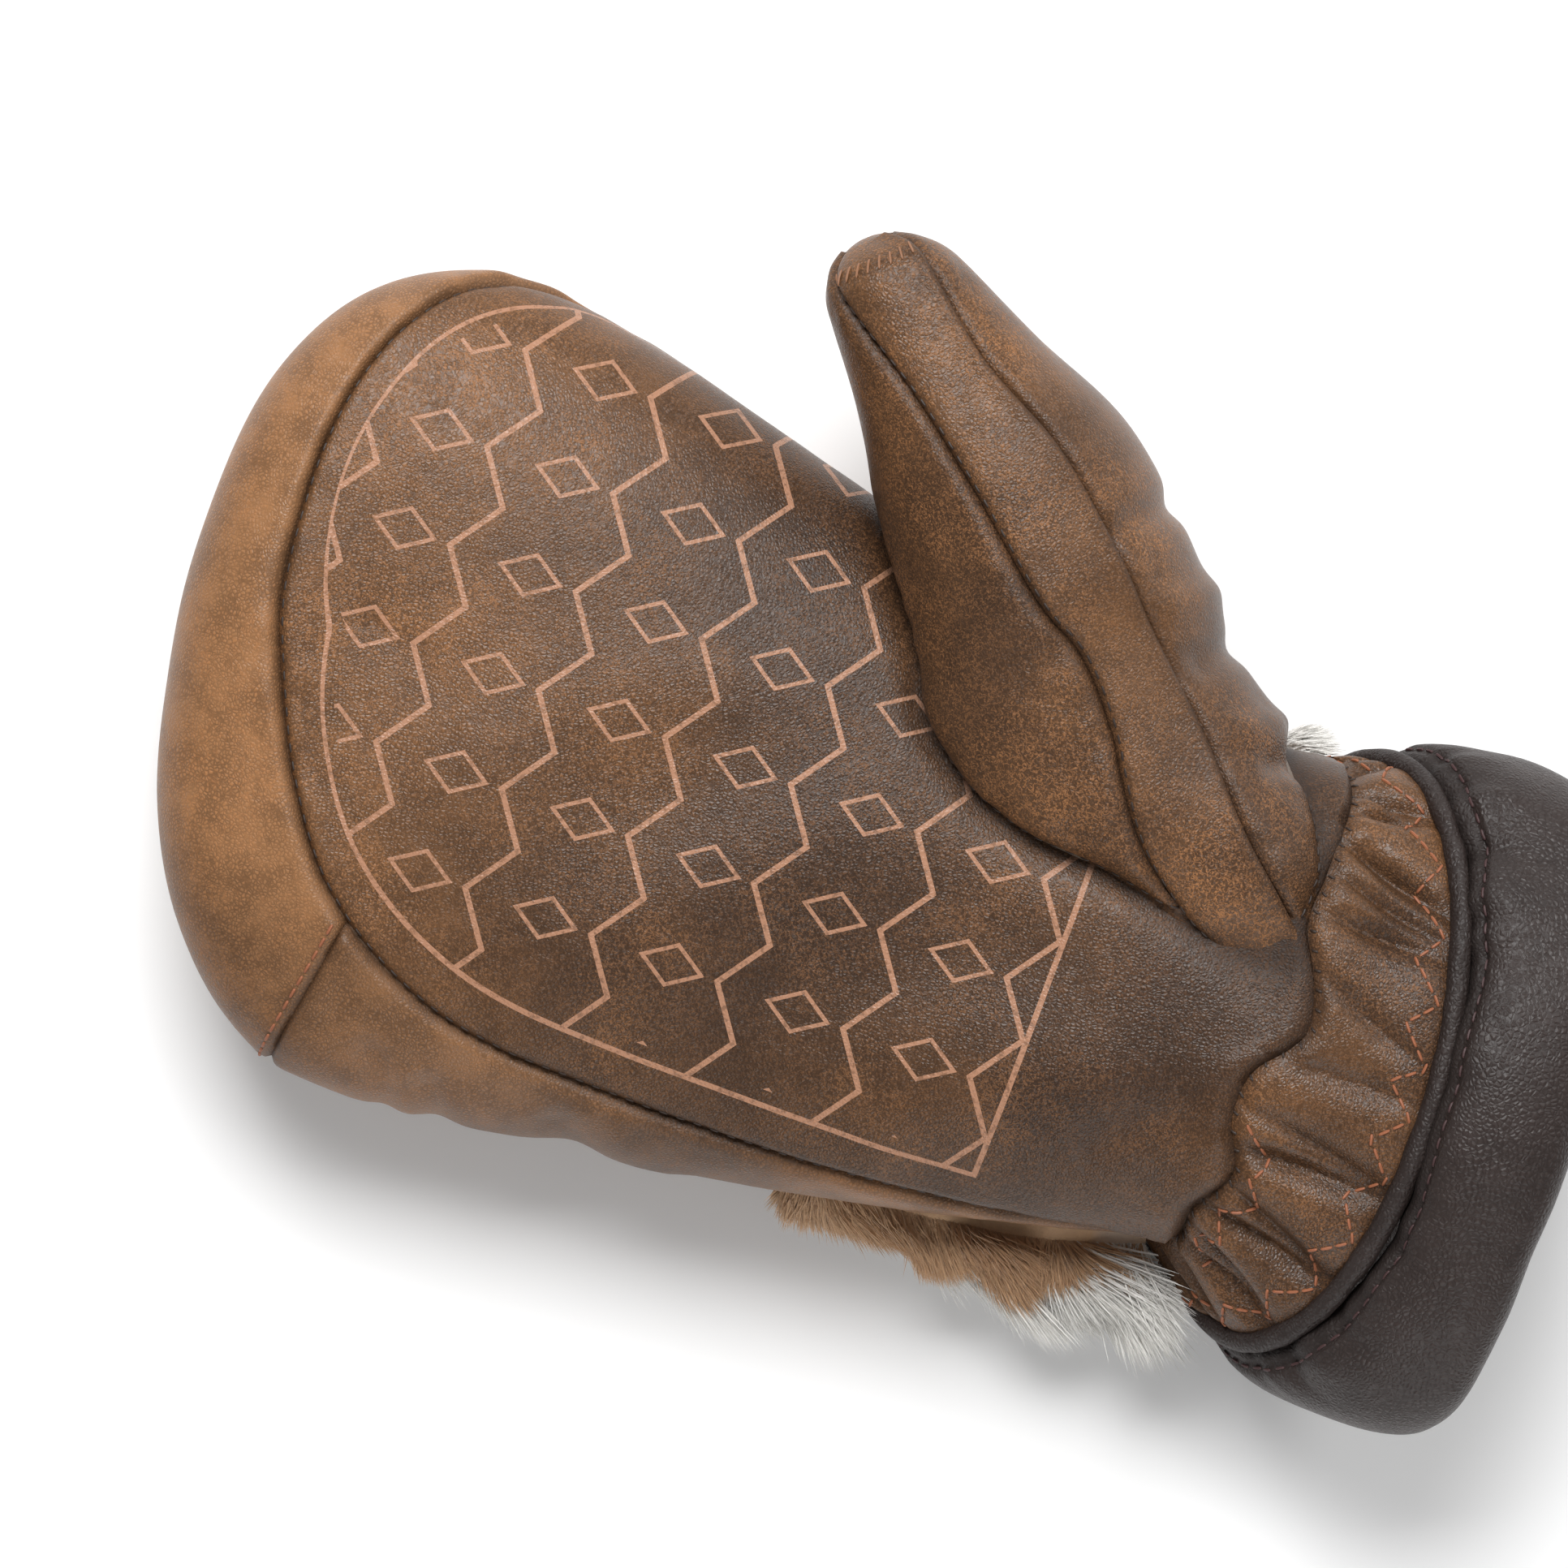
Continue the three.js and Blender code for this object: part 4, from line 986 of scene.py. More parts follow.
def shape_fur():
    """The hide under the fur with its lumps of pressed pile: the back's surface near the wrist,
    grown by a thickness that is fuller towards the wrist and thinner beside the thumb, times
    1 - exp(-d / 3) at the distance d from its nearest edge."""
    rows = 90
    half = np.linspace(0, FUR_SPAN, rows)
    t = np.concatenate([half, 1 - half[::-1]])[:, None]
    seam = through(BACK_SEAM, t)
    turn = 1 - (1 - seam) * np.linspace(0, 1, 70)
    panel = Panel(hand_point, t + 0 * turn, turn, flip=True)
    panel.normals[:, 0] = unit(panel.normals[:, 0] + panel.normals[::-1, 0])
    from_edge = FUR_START * HAND_LENGTH + panel.base[..., 0]
    towards_wrist = -plan_x(panel.u, panel.v)
    near = np.minimum(np.minimum(from_edge, panel.high_seam + 1), towards_wrist + 9)
    taper = 1 - np.exp(-np.maximum(near, 0) / 3)
    fuller = smooth_step(panel.base[..., 0], FUR_THIN, HIDE_FULL)
    lumps = noise(panel.base * [0.6, 1, 1], 13, 81) + 0.5 * noise(panel.base, 6, 82)
    thumb_side = np.clip((panel.base[..., 1] - 5) / 30, 0, 1)
    grown = HIDE_THICKNESS + HIDE_GROWTH * fuller + LUMP_HEIGHT * lumps
    panel.relief = taper * grown * (1 - 0.5 * thumb_side)
    gap = signed_gap(panel.base, *thumb_surface())
    panel.values["seam"] = np.zeros(panel.base.shape[:2])
    panel.values["white"] = whiteness(panel)
    keep = kept((from_edge < 0) | (gap < 1.0))
    keep[rows - 1] = False
    PANELS["fur"] = panel
    return keep


def whiteness(panel):
    """Where the fur is white, 0 to 1: a sum that grows towards the wrist, away from the back's
    seam and towards the thumb, with noise, cut off over a short span."""
    x, share = panel.base[..., 0], panel.high_seam / 40
    near_thumb = smooth_step(panel.base[..., 1], -5, 15)
    patch = 0.016 * (x + 42) + 6.0 * (share - 0.095) + 0.3 * noise(panel.base, 14, 83) + near_thumb
    return np.clip(patch * 5 + 0.5, 0, 1)


def fur_strands(sizes, keep, name, look):
    """Strands rooted in the lumps: each a three-sided cone of two rings and a point, whose middle
    line leaves the hide, bends towards the wrist and droops, by root + L (s a + s^2 b). They are
    closest beside the back's seam, where they show."""
    panel = PANELS["fur"]
    kind = SimpleNamespace(**FURS[name])
    white = name == "fur_white"
    points = panel.outer()
    rng = np.random.default_rng(kind.seed)
    cells = np.argwhere(keep)
    a, b = points[cells[:, 0], cells[:, 1]], points[cells[:, 0] + 1, cells[:, 1] + 1]
    area = (np.abs(a - b) ** 2).sum(1)
    tone = panel.values["white"][cells[:, 0], cells[:, 1]]
    seen = 1 + 9 * np.exp(-panel.high_seam[cells[:, 0], cells[:, 1]] / 9)
    if white:
        seen = seen * (0.1 + smooth_step(a[:, 0], -55, -20))
    chance = area * seen * (tone if white else 1 - tone)
    picked = cells[rng.choice(len(cells), sizes.strand_count, p=chance / chance.sum())]
    spot = picked + rng.random(picked.shape)
    roots, ways = panel.place(spot[:, 0], spot[:, 1])
    clump = vectors(noise(roots, 7, 84), noise(roots, 7, 85), noise(roots, 7, 86))
    loose = rng.normal(size=roots.shape) * 0.16
    ways[:, 2] *= 0.6
    fuller = smooth_step(roots[:, 0], FUR_THIN, STRANDS_FULL)
    reach = kind.reach + kind.gain * fuller
    near_thumb = smooth_step(roots[:, 1], 0, 25)
    length = PILE * reach * (0.7 + 0.6 * rng.random(len(roots))) * (1 - 0.6 * near_thumb)
    length = length[:, None]
    start = unit(ways * 0.9 + np.array([0.4, 0, 0]) + clump * 0.5 + loose)
    bend = np.array([kind.pull, 0, -0.2]) + clump * 0.45
    side = unit(np.cross(start, rng.normal(size=roots.shape)))
    other = np.cross(start, side)
    around = np.arange(3) * 2 * np.pi / 3
    ring = np.cos(around)[:, None] * side[:, None] + np.sin(around)[:, None] * other[:, None]
    strands = []
    thick = sizes.strand_thickness * kind.thick
    for s, radius in STRAND_RINGS:
        middle = roots + length * (s * start + s * s * bend)
        strands.append(middle[:, None] + ring * thick / 2 * radius)
    strands.append((roots + length * (start + bend))[:, None])
    points = np.concatenate(strands, 1)
    spread = 0.2 + 2.5 * rng.random(points.shape[0])[:, None]
    points[..., 2] = np.maximum(points[..., 2], FLOOR_CLEAR + spread)
    cone = [[0, 2, 1], [6, 3, 4], [6, 4, 5], [6, 5, 3]]
    for k in range(3):
        n = (k + 1) % 3
        cone += [[k, n, 3 + n], [k, 3 + n, 3 + k]]
    faces = (np.array(cone) + 7 * np.arange(len(points))[:, None, None]).reshape(-1, 3)
    along = np.tile([0, 0, 0, 0.5, 0.5, 0.5, 1.0], len(points))
    shade = np.repeat(rng.random(len(points)), 7)
    values = {"along": along, "shade": shade}
    obj = mesh_object(name, points.reshape(-1, 3), faces, values)
    return dress(obj, look, slot="fur")


def put(tree, kind, inputs=None, **settings):
    """Adds a node, sets its settings, and gives its inputs values or links."""
    node = tree.nodes.new(kind)
    for key, value in settings.items():
        setattr(node, key, value)
    for key, value in (inputs or {}).items():
        socket = node.inputs[key]
        if isinstance(value, bpy.types.NodeSocket):
            tree.links.new(value, socket)
        else:
            socket.default_value = value
    return node


def calc(tree, operation, *values, clamp=False):
    """A Math node's result."""
    inputs = dict(enumerate(values))
    return put(tree, "ShaderNodeMath", inputs, operation=operation, use_clamp=clamp).outputs[0]


def blended(tree, factor, a, b, mode="MIX"):
    """A Mix node's colour."""
    inputs = {0: factor, 6: a, 7: b}
    node = put(tree, "ShaderNodeMix", inputs, data_type="RGBA", blend_type=mode)
    return node.outputs[2]


def ramp(tree, value, low, high, to_low=0.0, to_high=1.0):
    """A value carried smoothly from one span to another."""
    inputs = {0: value, 1: low, 2: high, 3: to_low, 4: to_high}
    return put(tree, "ShaderNodeMapRange", inputs, interpolation_type="SMOOTHSTEP").outputs[0]


def speckle(tree, position, scale, detail=2.0, roughness=0.5, distortion=0.0):
    """A noise texture's value."""
    inputs = {"Vector": position, "Scale": scale, "Detail": detail, "Roughness": roughness}
    inputs["Distortion"] = distortion
    return put(tree, "ShaderNodeTexNoise", inputs).outputs[0]


def attribute(tree, name):
    """A value that the mesh carries at its points."""
    return put(tree, "ShaderNodeAttribute", attribute_name=name).outputs["Fac"]


def leather_grain():
    """The grain that every leather here shares. Height: pebbles between fine creases, over soft
    unevenness. Flecks: where the dark finish is rubbed off, in worm-like specks that come in
    patches. Mottle: slow change of tone."""
    group = bpy.data.node_groups.get("leather grain")
    if group:
        return group
    group = bpy.data.node_groups.new("leather grain", "ShaderNodeTree")
    interface = group.interface
    interface.new_socket("Position", in_out="INPUT", socket_type="NodeSocketVector")
    interface.new_socket("Pebbles", in_out="INPUT", socket_type="NodeSocketFloat")
    for name in ("Height", "Flecks", "Mottle"):
        interface.new_socket(name, in_out="OUTPUT", socket_type="NodeSocketFloat")
    start = put(group, "NodeGroupInput")
    position, pebbles = start.outputs["Position"], start.outputs["Pebbles"]
    warp = put(group, "ShaderNodeTexNoise", {"Vector": position, "Scale": 260.0, "Detail": 2.0})
    shifted = put(
        group,
        "ShaderNodeVectorMath",
        {0: warp.outputs["Color"], 1: (0.0012, 0.0012, 0.0012), 2: position},
        operation="MULTIPLY_ADD",
    ).outputs[0]
    cells = put(
        group,
        "ShaderNodeTexVoronoi",
        {"Vector": shifted, "Scale": pebbles},
        feature="DISTANCE_TO_EDGE",
    ).outputs["Distance"]
    pebble = ramp(group, cells, -0.1, 0.55)
    fine = speckle(group, position, 1900.0, 2.0, 0.6)
    uneven = speckle(group, position, 130.0, 3.0, 0.55)
    height = calc(group, "MULTIPLY_ADD", fine, 0.1, calc(group, "MULTIPLY", pebble, 0.8))
    height = calc(group, "MULTIPLY_ADD", uneven, 1.3, height)
    worm = speckle(group, position, 950.0, 2.0, 0.6, 0.5)
    ridge = calc(group, "ABSOLUTE", calc(group, "SUBTRACT", worm, 0.5))
    specks = ramp(group, ridge, 0.045, 0.012)
    dots = ramp(group, fine, 0.56, 0.68)
    patches = ramp(group, speckle(group, position, 40.0, 4.0, 0.6), 0.3, 0.75, 0.25, 1.0)
    flecks = calc(group, "MULTIPLY", calc(group, "MAXIMUM", specks, dots), patches)
    mottle = ramp(group, speckle(group, position, 22.0, 3.0, 0.55), 0.3, 0.7)
    outputs = {"Height": height, "Flecks": flecks, "Mottle": mottle}
    put(group, "NodeGroupOutput", outputs)
    return group


def new_material(name):
    """An empty node material with its output, its Principled shader and the Object coordinates."""
    material = bpy.data.materials.new(name)
    material.use_nodes = True
    tree = material.node_tree
    tree.nodes.clear()
    shader = put(tree, "ShaderNodeBsdfPrincipled")
    put(tree, "ShaderNodeOutputMaterial", {"Surface": shader.outputs[0]})
    position = put(tree, "ShaderNodeTexCoord").outputs["Object"]
    return material, tree, shader, position


def leather(name, dark, mid, tan, fleck, gloss=0.42, pebbles=1500.0, bump=0.00011, printed=None):
    """Waxed leather: mid and dark tones by the mottle and the tone that the mesh carries, rubbed
    to tan in flecks, with painted shade in the grain's creases and in the seams, and a grain that shows
    in the shine."""
    material, tree, shader, position = new_material(name)
    grain = put(tree, "ShaderNodeGroup", node_tree=leather_grain())
    tree.links.new(position, grain.inputs["Position"])
    grain.inputs["Pebbles"].default_value = pebbles
    height, flecks, mottle = (grain.outputs[key] for key in ("Height", "Flecks", "Mottle"))
    tone = attribute(tree, "tone")
    seam = attribute(tree, "seam")
    level = calc(tree, "MULTIPLY_ADD", mottle, 0.35, tone, clamp=True)
    colour = blended(tree, level, (*dark, 1), (*mid, 1))
    rubbed = calc(tree, "MULTIPLY", flecks, calc(tree, "MULTIPLY_ADD", tone, 0.5, fleck), clamp=True)
    colour = blended(tree, rubbed, colour, (*tan, 1))
    # painted shade: where the grain's height is low, in its creases, the colour is mixed towards a
    # darker brown
    crease_shade = ramp(tree, height, 1.2, 0.6, 0.0, 0.45)
    colour = blended(tree, crease_shade, colour, (dark[0] * 0.5, dark[1] * 0.5, dark[2] * 0.5, 1))
    if printed:
        colour = blended(tree, print_mask(tree, position), colour, (*printed, 1))
    # painted shade: the leather is mixed towards a near black in the seams' grooves and where pieces
    # meet, as far as the seam attribute says
    sunk = calc(tree, "MULTIPLY", seam, 0.6)
    colour = blended(tree, sunk, colour, (dark[0] * 0.35, dark[1] * 0.32, dark[2] * 0.3, 1))
    raw_side = (0.16, 0.12, 0.09, 1)
    colour = blended(tree, attribute(tree, "inside"), colour, raw_side)
    tree.links.new(colour, shader.inputs["Base Color"])
    rough = calc(tree, "MULTIPLY_ADD", flecks, 0.2, calc(tree, "MULTIPLY_ADD", mottle, -0.06, gloss))
    rough = calc(tree, "MULTIPLY_ADD", seam, 0.2, rough, clamp=True)
    tree.links.new(rough, shader.inputs["Roughness"])
    raised = put(tree, "ShaderNodeBump", {"Strength": 1.0, "Distance": bump, "Height": height})
    tree.links.new(raised.outputs[0], shader.inputs["Normal"])
    shader.inputs["Specular IOR Level"].default_value = 0.3
    return material


def print_mask(tree, position):
    """The printed lines of the palm: a border that keeps one distance from the seam, and inside it
    zigzag lines across the hand, where x + 0.7 tooth(y) is half a row past a whole number of rows,
    with small lozenges, where |x| + 1.5 |y| is a constant, in a line between each two."""
    line = 0.0005  # half of a line's width
    margin = 0.009  # from the seam to the border
    row = 0.023  # from one zigzag to the next
    tooth_length = 0.009
    lozenge_size = 0.0054
    lozenge_shift = 0.0031
    lozenge_clear = 0.0028  # from the border to where the lozenges stop
    wrist_end = 38  # from the wrist seam to the border's straight side, in millimetres
    parts = put(tree, "ShaderNodeSeparateXYZ", {0: position}).outputs
    x, y = parts[0], parts[1]

    def near(value, place, reach=line):
        """1 where a value is close to a place."""
        off = calc(tree, "ABSOLUTE", calc(tree, "SUBTRACT", value, place))
        return calc(tree, "LESS_THAN", off, reach)

    tooth = calc(tree, "PINGPONG", y, tooth_length)
    bent = calc(tree, "MULTIPLY_ADD", tooth, 0.7, x)
    zigzag_line = near(calc(tree, "PINGPONG", bent, row), row / 2, line * 1.2)
    along = calc(tree, "PINGPONG", calc(tree, "ADD", x, lozenge_shift), row / 2)
    wave = calc(tree, "PINGPONG", y, 2 * tooth_length)
    across = calc(tree, "ABSOLUTE", calc(tree, "SUBTRACT", wave, tooth_length))
    lozenge = calc(tree, "MULTIPLY_ADD", across, 1.5, along)
    lozenge = near(lozenge, lozenge_size, line * 1.25)
    inset = calc(tree, "MULTIPLY", attribute(tree, "inset"), MM)
    edge = (SHIFT[0] - wrist_end) * MM
    border = calc(tree, "MAXIMUM", near(inset, margin), near(x, edge))
    bounds = []
    for clear in (-line, lozenge_clear):
        within = calc(tree, "GREATER_THAN", inset, margin + clear)
        short = calc(tree, "LESS_THAN", x, edge - clear)
        bounds.append(calc(tree, "MULTIPLY", within, short))
    lines = calc(tree, "MULTIPLY", calc(tree, "MAXIMUM", zigzag_line, border), bounds[0])
    drawn = calc(tree, "MAXIMUM", lines, calc(tree, "MULTIPLY", lozenge, bounds[1]))
    worn = ramp(tree, speckle(tree, position, 900.0, 3.0, 0.6), 0.36, 0.5, 0.45, 0.85)
    return calc(tree, "MULTIPLY", drawn, worn)


def plain_thread(name, colour):
    """Thread with a faint twist in its colour and its height."""
    material, tree, shader, position = new_material(name)
    twist = speckle(tree, position, 1500.0, 2.0)
    tone = blended(tree, twist, (colour[0] * 0.7, colour[1] * 0.7, colour[2] * 0.7, 1), (*colour, 1))
    tree.links.new(tone, shader.inputs["Base Color"])
    rough = calc(tree, "MULTIPLY_ADD", twist, 0.2, 0.5)
    tree.links.new(rough, shader.inputs["Roughness"])
    raised = put(tree, "ShaderNodeBump", {"Strength": 0.5, "Distance": 0.0001, "Height": twist})
    tree.links.new(raised.outputs[0], shader.inputs["Normal"])
    return material


def fur_look(name, colour, white=None):
    """Fur: paler towards the tips of its strands, with a tone that differs between strands. Where
    white is given, the mesh says where one colour turns into the other."""
    material, tree, shader, position = new_material(name)
    streaks = speckle(tree, position, 420.0, 4.0, 0.65)
    deep = tuple(c * 0.62 for c in colour)
    if white is None:
        half_shade = calc(tree, "MULTIPLY", attribute(tree, "shade"), 0.5)
        tip = calc(tree, "MULTIPLY_ADD", attribute(tree, "along"), 0.5, half_shade)
        tone = blended(tree, tip, (*deep, 1), (*colour, 1))
    else:
        tone = blended(tree, streaks, (*deep, 1), (*colour, 1))
        pale = blended(tree, streaks, tuple(c * 0.75 for c in white) + (1,), (*white, 1))
        tone = blended(tree, attribute(tree, "white"), tone, pale)
    tree.links.new(tone, shader.inputs["Base Color"])
    rough = calc(tree, "MULTIPLY_ADD", streaks, 0.15, 0.62)
    tree.links.new(rough, shader.inputs["Roughness"])
    raised = put(tree, "ShaderNodeBump", {"Strength": 0.8, "Distance": 0.0008, "Height": streaks})
    tree.links.new(raised.outputs[0], shader.inputs["Normal"])
    shader.inputs["Sheen Weight"].default_value = 0.25
    shader.inputs["Sheen Roughness"].default_value = 0.5
    return material


def length(name, text, default, low, high):
    """A length in metres, shown in the scene's units."""
    return FloatProperty(
        name=name, description=text, default=default, min=low, max=high, unit="LENGTH", precision=5
    )


def colour(name, text, default):
    """A colour of a finish."""
    return FloatVectorProperty(
        name=name, description=text, default=default, min=0, max=1, subtype="COLOR"
    )


class MITTEN_PG_sizes(bpy.types.PropertyGroup):
    """Sizes of the detail that is added to the solids."""

    seam_depth: length("Seam depth", "How far the leather sinks at a seam", 0.0014, 0, 0.003)
    pucker_height: length("Pucker height", "Height of the puckers beside a seam", 0.0005, 0, 0.002)
    gather_height: length("Gather height", "Height of the wrist's gathers", 0.0016, 0, 0.004)
    stitch_length: length("Stitch length", "Length of one stitch", 0.0021, 0.001, 0.004)
    stitch_thickness: length("Thread", "Thickness of the thread", 0.00055, 0.0002, 0.001)
    strand_thickness: length("Strand", "Thickness of a strand of fur at its root", 0.0004, 0.0001, 0.001)
    strand_count: IntProperty(
        name="Strands", description="Strands of fur of each colour", default=15500, min=100, max=19000
    )


class MITTEN_PG_finish(bpy.types.PropertyGroup):
    """Colours of the finishes."""

    dark: colour("Dark leather", "Leather where its finish is whole", (0.040, 0.021, 0.012))
    mid: colour("Brown leather", "Leather where its finish is thin", (0.150, 0.072, 0.031))
    band: colour("Gusset leather", "Lighter leather of the gussets", (0.300, 0.147, 0.064))
    tan: colour("Tan leather", "Leather where its finish is rubbed off", (0.400, 0.175, 0.065))
    cuff: colour("Cuff leather", "Leather of the padded cuff", (0.026, 0.018, 0.016))
    printed: colour("Print", "Printed lines on the palm", (0.420, 0.215, 0.130))
    brown_fur: colour("Brown fur", "Brown fur at its tips", (0.640, 0.400, 0.225))
    white_fur: colour("White fur", "White fur at its tips", (0.930, 0.910, 0.870))
    rust: colour("Rust thread", "Thread of the zigzags", (0.340, 0.115, 0.050))


def millimetres(context):
    """The sizes as plain numbers in millimetres, with the counts as they are."""
    group = context.scene.mitten_sizes
    values = {}
    for key in group.bl_rna.properties.keys():
        if key in ("rna_type", "name"):
            continue
        value = getattr(group, key)
        values[key] = value if isinstance(value, int) else value / MM
    return SimpleNamespace(**values)


LOOKS = {}


def look(context, name):
    """One of the mitten's materials, made when it is first asked for."""
    if name in LOOKS:
        return LOOKS[name]
    finish = context.scene.mitten_finish
    dark, mid, tan = tuple(finish.dark), tuple(finish.mid), tuple(finish.tan)
    band, printed = tuple(finish.band), tuple(finish.printed)
    cuff = tuple(finish.cuff)
    pale_cuff = tuple(c * 1.35 for c in cuff)
    makers = {
        "palm_leather": lambda: leather(
            "palm leather", dark, mid, tan, fleck=0.35, gloss=0.36, printed=printed
        ),
        "tan_leather": lambda: leather("tan leather", dark, band, tan, fleck=0.35, gloss=0.40),
        "thumb_leather": lambda: leather("thumb leather", dark, mid, tan, fleck=0.5, gloss=0.36),
        "wrist_leather": lambda: leather("wrist leather", dark, mid, tan, fleck=0.35, gloss=0.33),
        "cuff_leather": lambda: leather(
            "cuff leather", cuff, pale_cuff, pale_cuff, fleck=0.1, pebbles=1100.0, bump=0.00018
        ),
        "rust": lambda: plain_thread("rust thread", tuple(finish.rust)),
        "tan": lambda: plain_thread("tan thread", (0.30, 0.14, 0.07)),
        "cuff": lambda: plain_thread("cuff thread", (0.06, 0.025, 0.025)),
        "dark": lambda: plain_thread("dark thread", (0.03, 0.016, 0.01)),
        "hide": lambda: fur_look("fur", tuple(finish.brown_fur), tuple(finish.white_fur)),
        "brown_fur": lambda: fur_look("brown fur", tuple(finish.brown_fur)),
        "white_fur": lambda: fur_look("white fur", tuple(finish.white_fur)),
    }
    LOOKS[name] = makers[name]()
    return LOOKS[name]


def add_tone(panel, tone):
    """Gives a panel the tone of its finish, 0 dark to 1 brown, which on the wrist also holds painted
    shade in the gathers' valleys.
    """
    panel.values["tone"] = np.clip(tone + 0 * panel.relief, 0, 1)


class MittenOperator:
    """What the operators share: undo, and a report when the piece is made."""

    bl_options = {"REGISTER", "UNDO"}

    def execute(self, context):
        self.build(context, millimetres(context))
        self.report({"INFO"}, f"{self.bl_label}: done")
        return {"FINISHED"}


class MITTEN_OT_palm(MittenOperator, bpy.types.Operator):
    """Makes the palm with its printed lines"""

    bl_idname = "mitten.palm"
    bl_label = "Palm"

    def build(self, context, sizes):
        keep = shape_palm(sizes)
        panel = PANELS["palm"]
        fingers = smooth_step(-panel.base[..., 0], 108, 168)
        wrist = smooth_step(panel.base[..., 0], -55, -15)
        add_tone(panel, 0.12 + 0.6 * fingers - 0.2 * wrist + 0.2 * noise(panel.base, 30, 91))
        piece = leather_piece(panel, "palm", keep, spine=True)
        dress(piece, look(context, "palm_leather"), "palm_panel")


class MITTEN_OT_gussets(MittenOperator, bpy.types.Operator):
    """Makes the two gussets round the edge of the hand"""

    bl_idname = "mitten.gussets"
    bl_label = "Gussets"

    def build(self, context, sizes):
        for name, start, end, columns in (
            ("side_gusset", 0.0, TIP_SEAM, 150),
            ("tip_gusset", TIP_SEAM, 1.0, 300),
        ):
            keep = shape_gusset(sizes, name, start, end, columns)
            panel = PANELS[name]
            low = smooth_step(-panel.base[..., 1], 20, 75)
            bright = 0.32 if name == "side_gusset" else 0.85 - 0.45 * low
            add_tone(panel, bright + 0.3 * noise(panel.base, 26, 92))
            piece = leather_piece(panel, f"{name}_leather", keep)
            dress(piece, look(context, "tan_leather"), name)


class MITTEN_OT_back(MittenOperator, bpy.types.Operator):
    """Makes the leather of the back, up to the fur"""

    bl_idname = "mitten.back"
    bl_label = "Back"

    def build(self, context, sizes):
        panel = shape_back(sizes)
        add_tone(panel, 0.5 + 0.3 * noise(panel.base, 30, 93))
        keep = kept(panel.base[..., 0] > -FUR_START * HAND_LENGTH + 2)
        piece = leather_piece(panel, "back", keep, spine=True)
        dress(piece, look(context, "tan_leather"), "back_panel")


class MITTEN_OT_wrist(MittenOperator, bpy.types.Operator):
    """Makes the gathered strip round the wrist"""

    bl_idname = "mitten.wrist"
    bl_label = "Gathered wrist"

    def build(self, context, sizes):
        shape_wrist(sizes)
        panel = PANELS["wrist"]
        # the tone is lowered in the gathers' valleys: painted shade
        add_tone(panel, 0.35 + 0.3 * noise(panel.base, 16, 94) - 0.5 * panel.values["valley"])
        piece = leather_piece(panel, "wrist", None)
        dress(piece, look(context, "wrist_leather"), "wrist_strip")


class MITTEN_OT_cuff(MittenOperator, bpy.types.Operator):
    """Makes the folded rim and the padded cuff"""

    bl_idname = "mitten.cuff"
    bl_label = "Cuff"

    def build(self, context, sizes):
        shape_rim()
        shape_cuff()
        for panel_name, name, node in (("rim", "rim", "cuff_rim"), ("cuff", "padded_cuff", "cuff")):
            panel = PANELS[panel_name]
            add_tone(panel, 0.5 + 0.4 * noise(panel.base, 22, 95))
            panel.values["inside"] = 0 * panel.relief
            number = np.arange(panel.relief.size).reshape(panel.relief.shape)
            points = panel.outer().reshape(-1, 3)
            values = {key: value.ravel() for key, value in panel.values.items()}
            quads = grid_quads(number, True, True).reshape(-1, 4)
            piece = mesh_object(name, points, quads, values)
            dress(piece, look(context, "cuff_leather"), node)


class MITTEN_OT_thumb(MittenOperator, bpy.types.Operator):
    """Makes the thumb's panels"""

    bl_idname = "mitten.thumb"
    bl_label = "Thumb"

    def build(self, context, sizes):
        keep = shape_thumb(sizes)
        tones = {
            "thumb_inner": 0.3, "thumb_outer": 0.35, "thumb_strip": 0.5, "thumb_tongue": 0.6,
            "thumb_cap": 0.55,
        }
        nodes = {"thumb_tongue": "thumb_tip", "thumb_cap": None}
        for name, tone in tones.items():
            panel = PANELS[name]
            add_tone(panel, tone + 0.25 * noise(panel.base, 24, 96))
            piece = leather_piece(panel, f"{name}_leather", keep.get(name), pole=name == "thumb_cap")
            node = nodes.get(name, name)
            replaced = [node] if node else []
            dress(piece, look(context, "thumb_leather"), *replaced, slot="thumb_leather")


class MITTEN_OT_stitching(MittenOperator, bpy.types.Operator):
    """Sews the panels, and draws the zigzags on the wrist"""

    bl_idname = "mitten.stitching"
    bl_label = "Stitching"

    def build(self, context, sizes):
        sew(sizes, {name: look(context, name) for name in ("rust", "tan", "cuff", "dark")})


class MITTEN_OT_fur(MittenOperator, bpy.types.Operator):
    """Makes the fur on the back of the wrist"""

    bl_idname = "mitten.fur"
    bl_label = "Fur"

    def build(self, context, sizes):
        keep = shape_fur()
        piece = leather_piece(PANELS["fur"], "fur_hide", keep, spine=True)
        dress(piece, look(context, "hide"), "fur_panel")
        fur_strands(sizes, keep, "fur_brown", look(context, "brown_fur"))
        fur_strands(sizes, keep, "fur_white", look(context, "white_fur"))


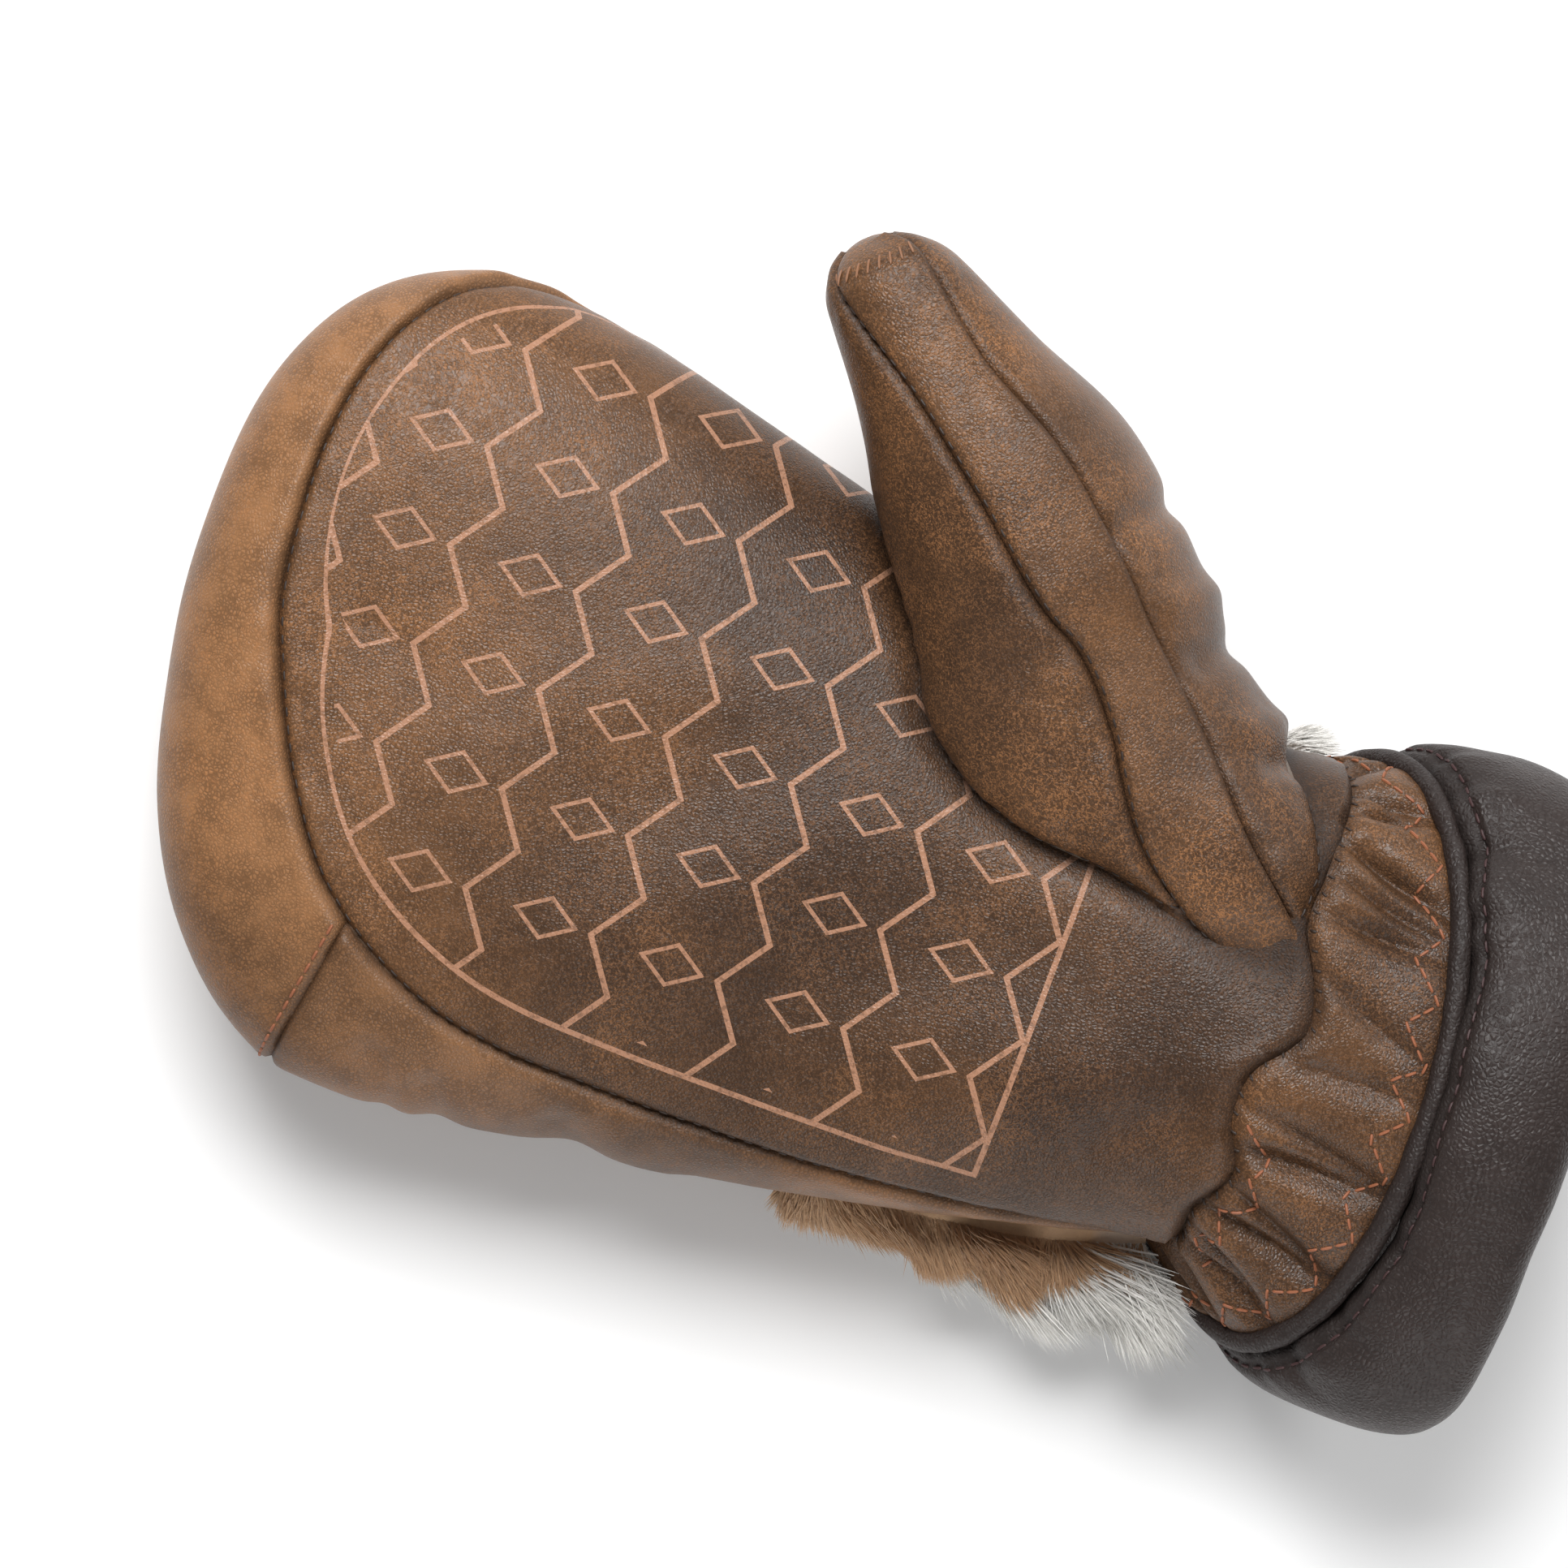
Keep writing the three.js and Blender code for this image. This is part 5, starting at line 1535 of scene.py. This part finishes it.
class MITTEN_OT_stage(MittenOperator, bpy.types.Operator):
    """Makes the floor, the light and the camera over the palm"""

    bl_idname = "mitten.stage"
    bl_label = "Stage"

    def build(self, context, sizes):
        scene = context.scene
        floor_side = 4.0
        world_strength = 0.24
        view_middle = (-92, 6)  # the middle of the picture, in millimetres of the part's source
        corners = np.array([[-1, -1], [1, -1], [1, 1], [-1, 1]]) * floor_side / 2
        mesh = bpy.data.meshes.new("floor")
        mesh.from_pydata([(x, y, 0.0) for x, y in corners], [], [(0, 1, 2, 3)])
        floor = bpy.data.objects.new("floor", mesh)
        scene.collection.objects.link(floor)
        material, tree, shader, position = new_material("floor")
        cloudy = speckle(tree, position, 3.0)
        tone = blended(tree, cloudy, (0.93, 0.93, 0.93, 1), (0.95, 0.95, 0.95, 1))
        tree.links.new(tone, shader.inputs["Base Color"])
        shader.inputs["Roughness"].default_value = 0.9
        mesh.materials.append(material)

        world = bpy.data.worlds.new("studio")
        world.use_nodes = True
        background = world.node_tree.nodes["Background"]
        background.inputs["Color"].default_value = (1, 1, 1, 1)
        background.inputs["Strength"].default_value = world_strength
        scene.world = world
        scene.view_settings.view_transform = "Standard"

        # The picture's up and right, both level, turned 20.5 degrees against the part's axes
        up = Vector((-0.3502, 0.9367, 0))
        right = Vector((0.9367, 0.3502, 0))
        middle = Vector((SHIFT[0] + view_middle[0], SHIFT[1] + view_middle[1], 0)) * MM
        turn = Matrix((right, up, Vector((0, 0, 1)))).transposed()
        for name, place, size, power in (
            ("key", -0.1 * right + 0.85 * up + Vector((0, 0, 1.3)), 0.8, 28),
            ("fill", 0.1 * right - 0.9 * up + Vector((0, 0, 0.5)), 0.7, 4),
            ("side", 0.9 * right + 0.5 * up + Vector((0, 0, 0.8)), 0.6, 4),
        ):
            lamp = bpy.data.lights.new(name, "AREA")
            lamp.size = size
            lamp.energy = power
            light = bpy.data.objects.new(name, lamp)
            light.location = middle + place
            light.rotation_euler = (-place).to_track_quat("-Z", "Y").to_euler()
            scene.collection.objects.link(light)

        lens = bpy.data.cameras.new("camera")
        palm_plane = 0.045
        distance = 1.25
        width_in_view = 0.27048
        sensor = 36
        lens.sensor_width = sensor
        lens.lens = sensor * distance / width_in_view
        lens.clip_end = 20
        camera = bpy.data.objects.new("camera", lens)
        spot = turn.to_4x4()
        spot.translation = middle + Vector((0, 0, palm_plane + distance))
        camera.matrix_world = spot
        scene.collection.objects.link(camera)
        scene.camera = camera


class MITTEN_PT_panel(bpy.types.Panel):
    """The mitten's sizes, finishes and pieces"""

    bl_label = "Leather mitten"
    bl_idname = "MITTEN_PT_panel"
    bl_space_type = "VIEW_3D"
    bl_region_type = "UI"
    bl_category = "Mitten"

    def draw(self, context):
        for group in (context.scene.mitten_sizes, context.scene.mitten_finish):
            box = self.layout.box()
            for key in group.bl_rna.properties.keys():
                if key not in ("rna_type", "name"):
                    box.prop(group, key)
        for operator in OPERATORS:
            self.layout.operator(operator.bl_idname)


OPERATORS = (
    MITTEN_OT_palm,
    MITTEN_OT_gussets,
    MITTEN_OT_back,
    MITTEN_OT_wrist,
    MITTEN_OT_cuff,
    MITTEN_OT_thumb,
    MITTEN_OT_stitching,
    MITTEN_OT_fur,
    MITTEN_OT_stage,
)
CLASSES = (MITTEN_PG_sizes, MITTEN_PG_finish, *OPERATORS, MITTEN_PT_panel)


def register():
    """Registers the classes and gives every scene the mitten's properties."""
    for cls in CLASSES:
        bpy.utils.register_class(cls)
    bpy.types.Scene.mitten_sizes = PointerProperty(type=MITTEN_PG_sizes)
    bpy.types.Scene.mitten_finish = PointerProperty(type=MITTEN_PG_finish)


def unregister():
    """Takes the properties and the classes away again."""
    del bpy.types.Scene.mitten_finish
    del bpy.types.Scene.mitten_sizes
    for cls in reversed(CLASSES):
        bpy.utils.unregister_class(cls)


def main():
    """Makes every piece in order."""
    register()
    for operator in OPERATORS:
        group, name = operator.bl_idname.split(".")
        getattr(getattr(bpy.ops, group), name)()


if __name__ == "__main__":
    main()
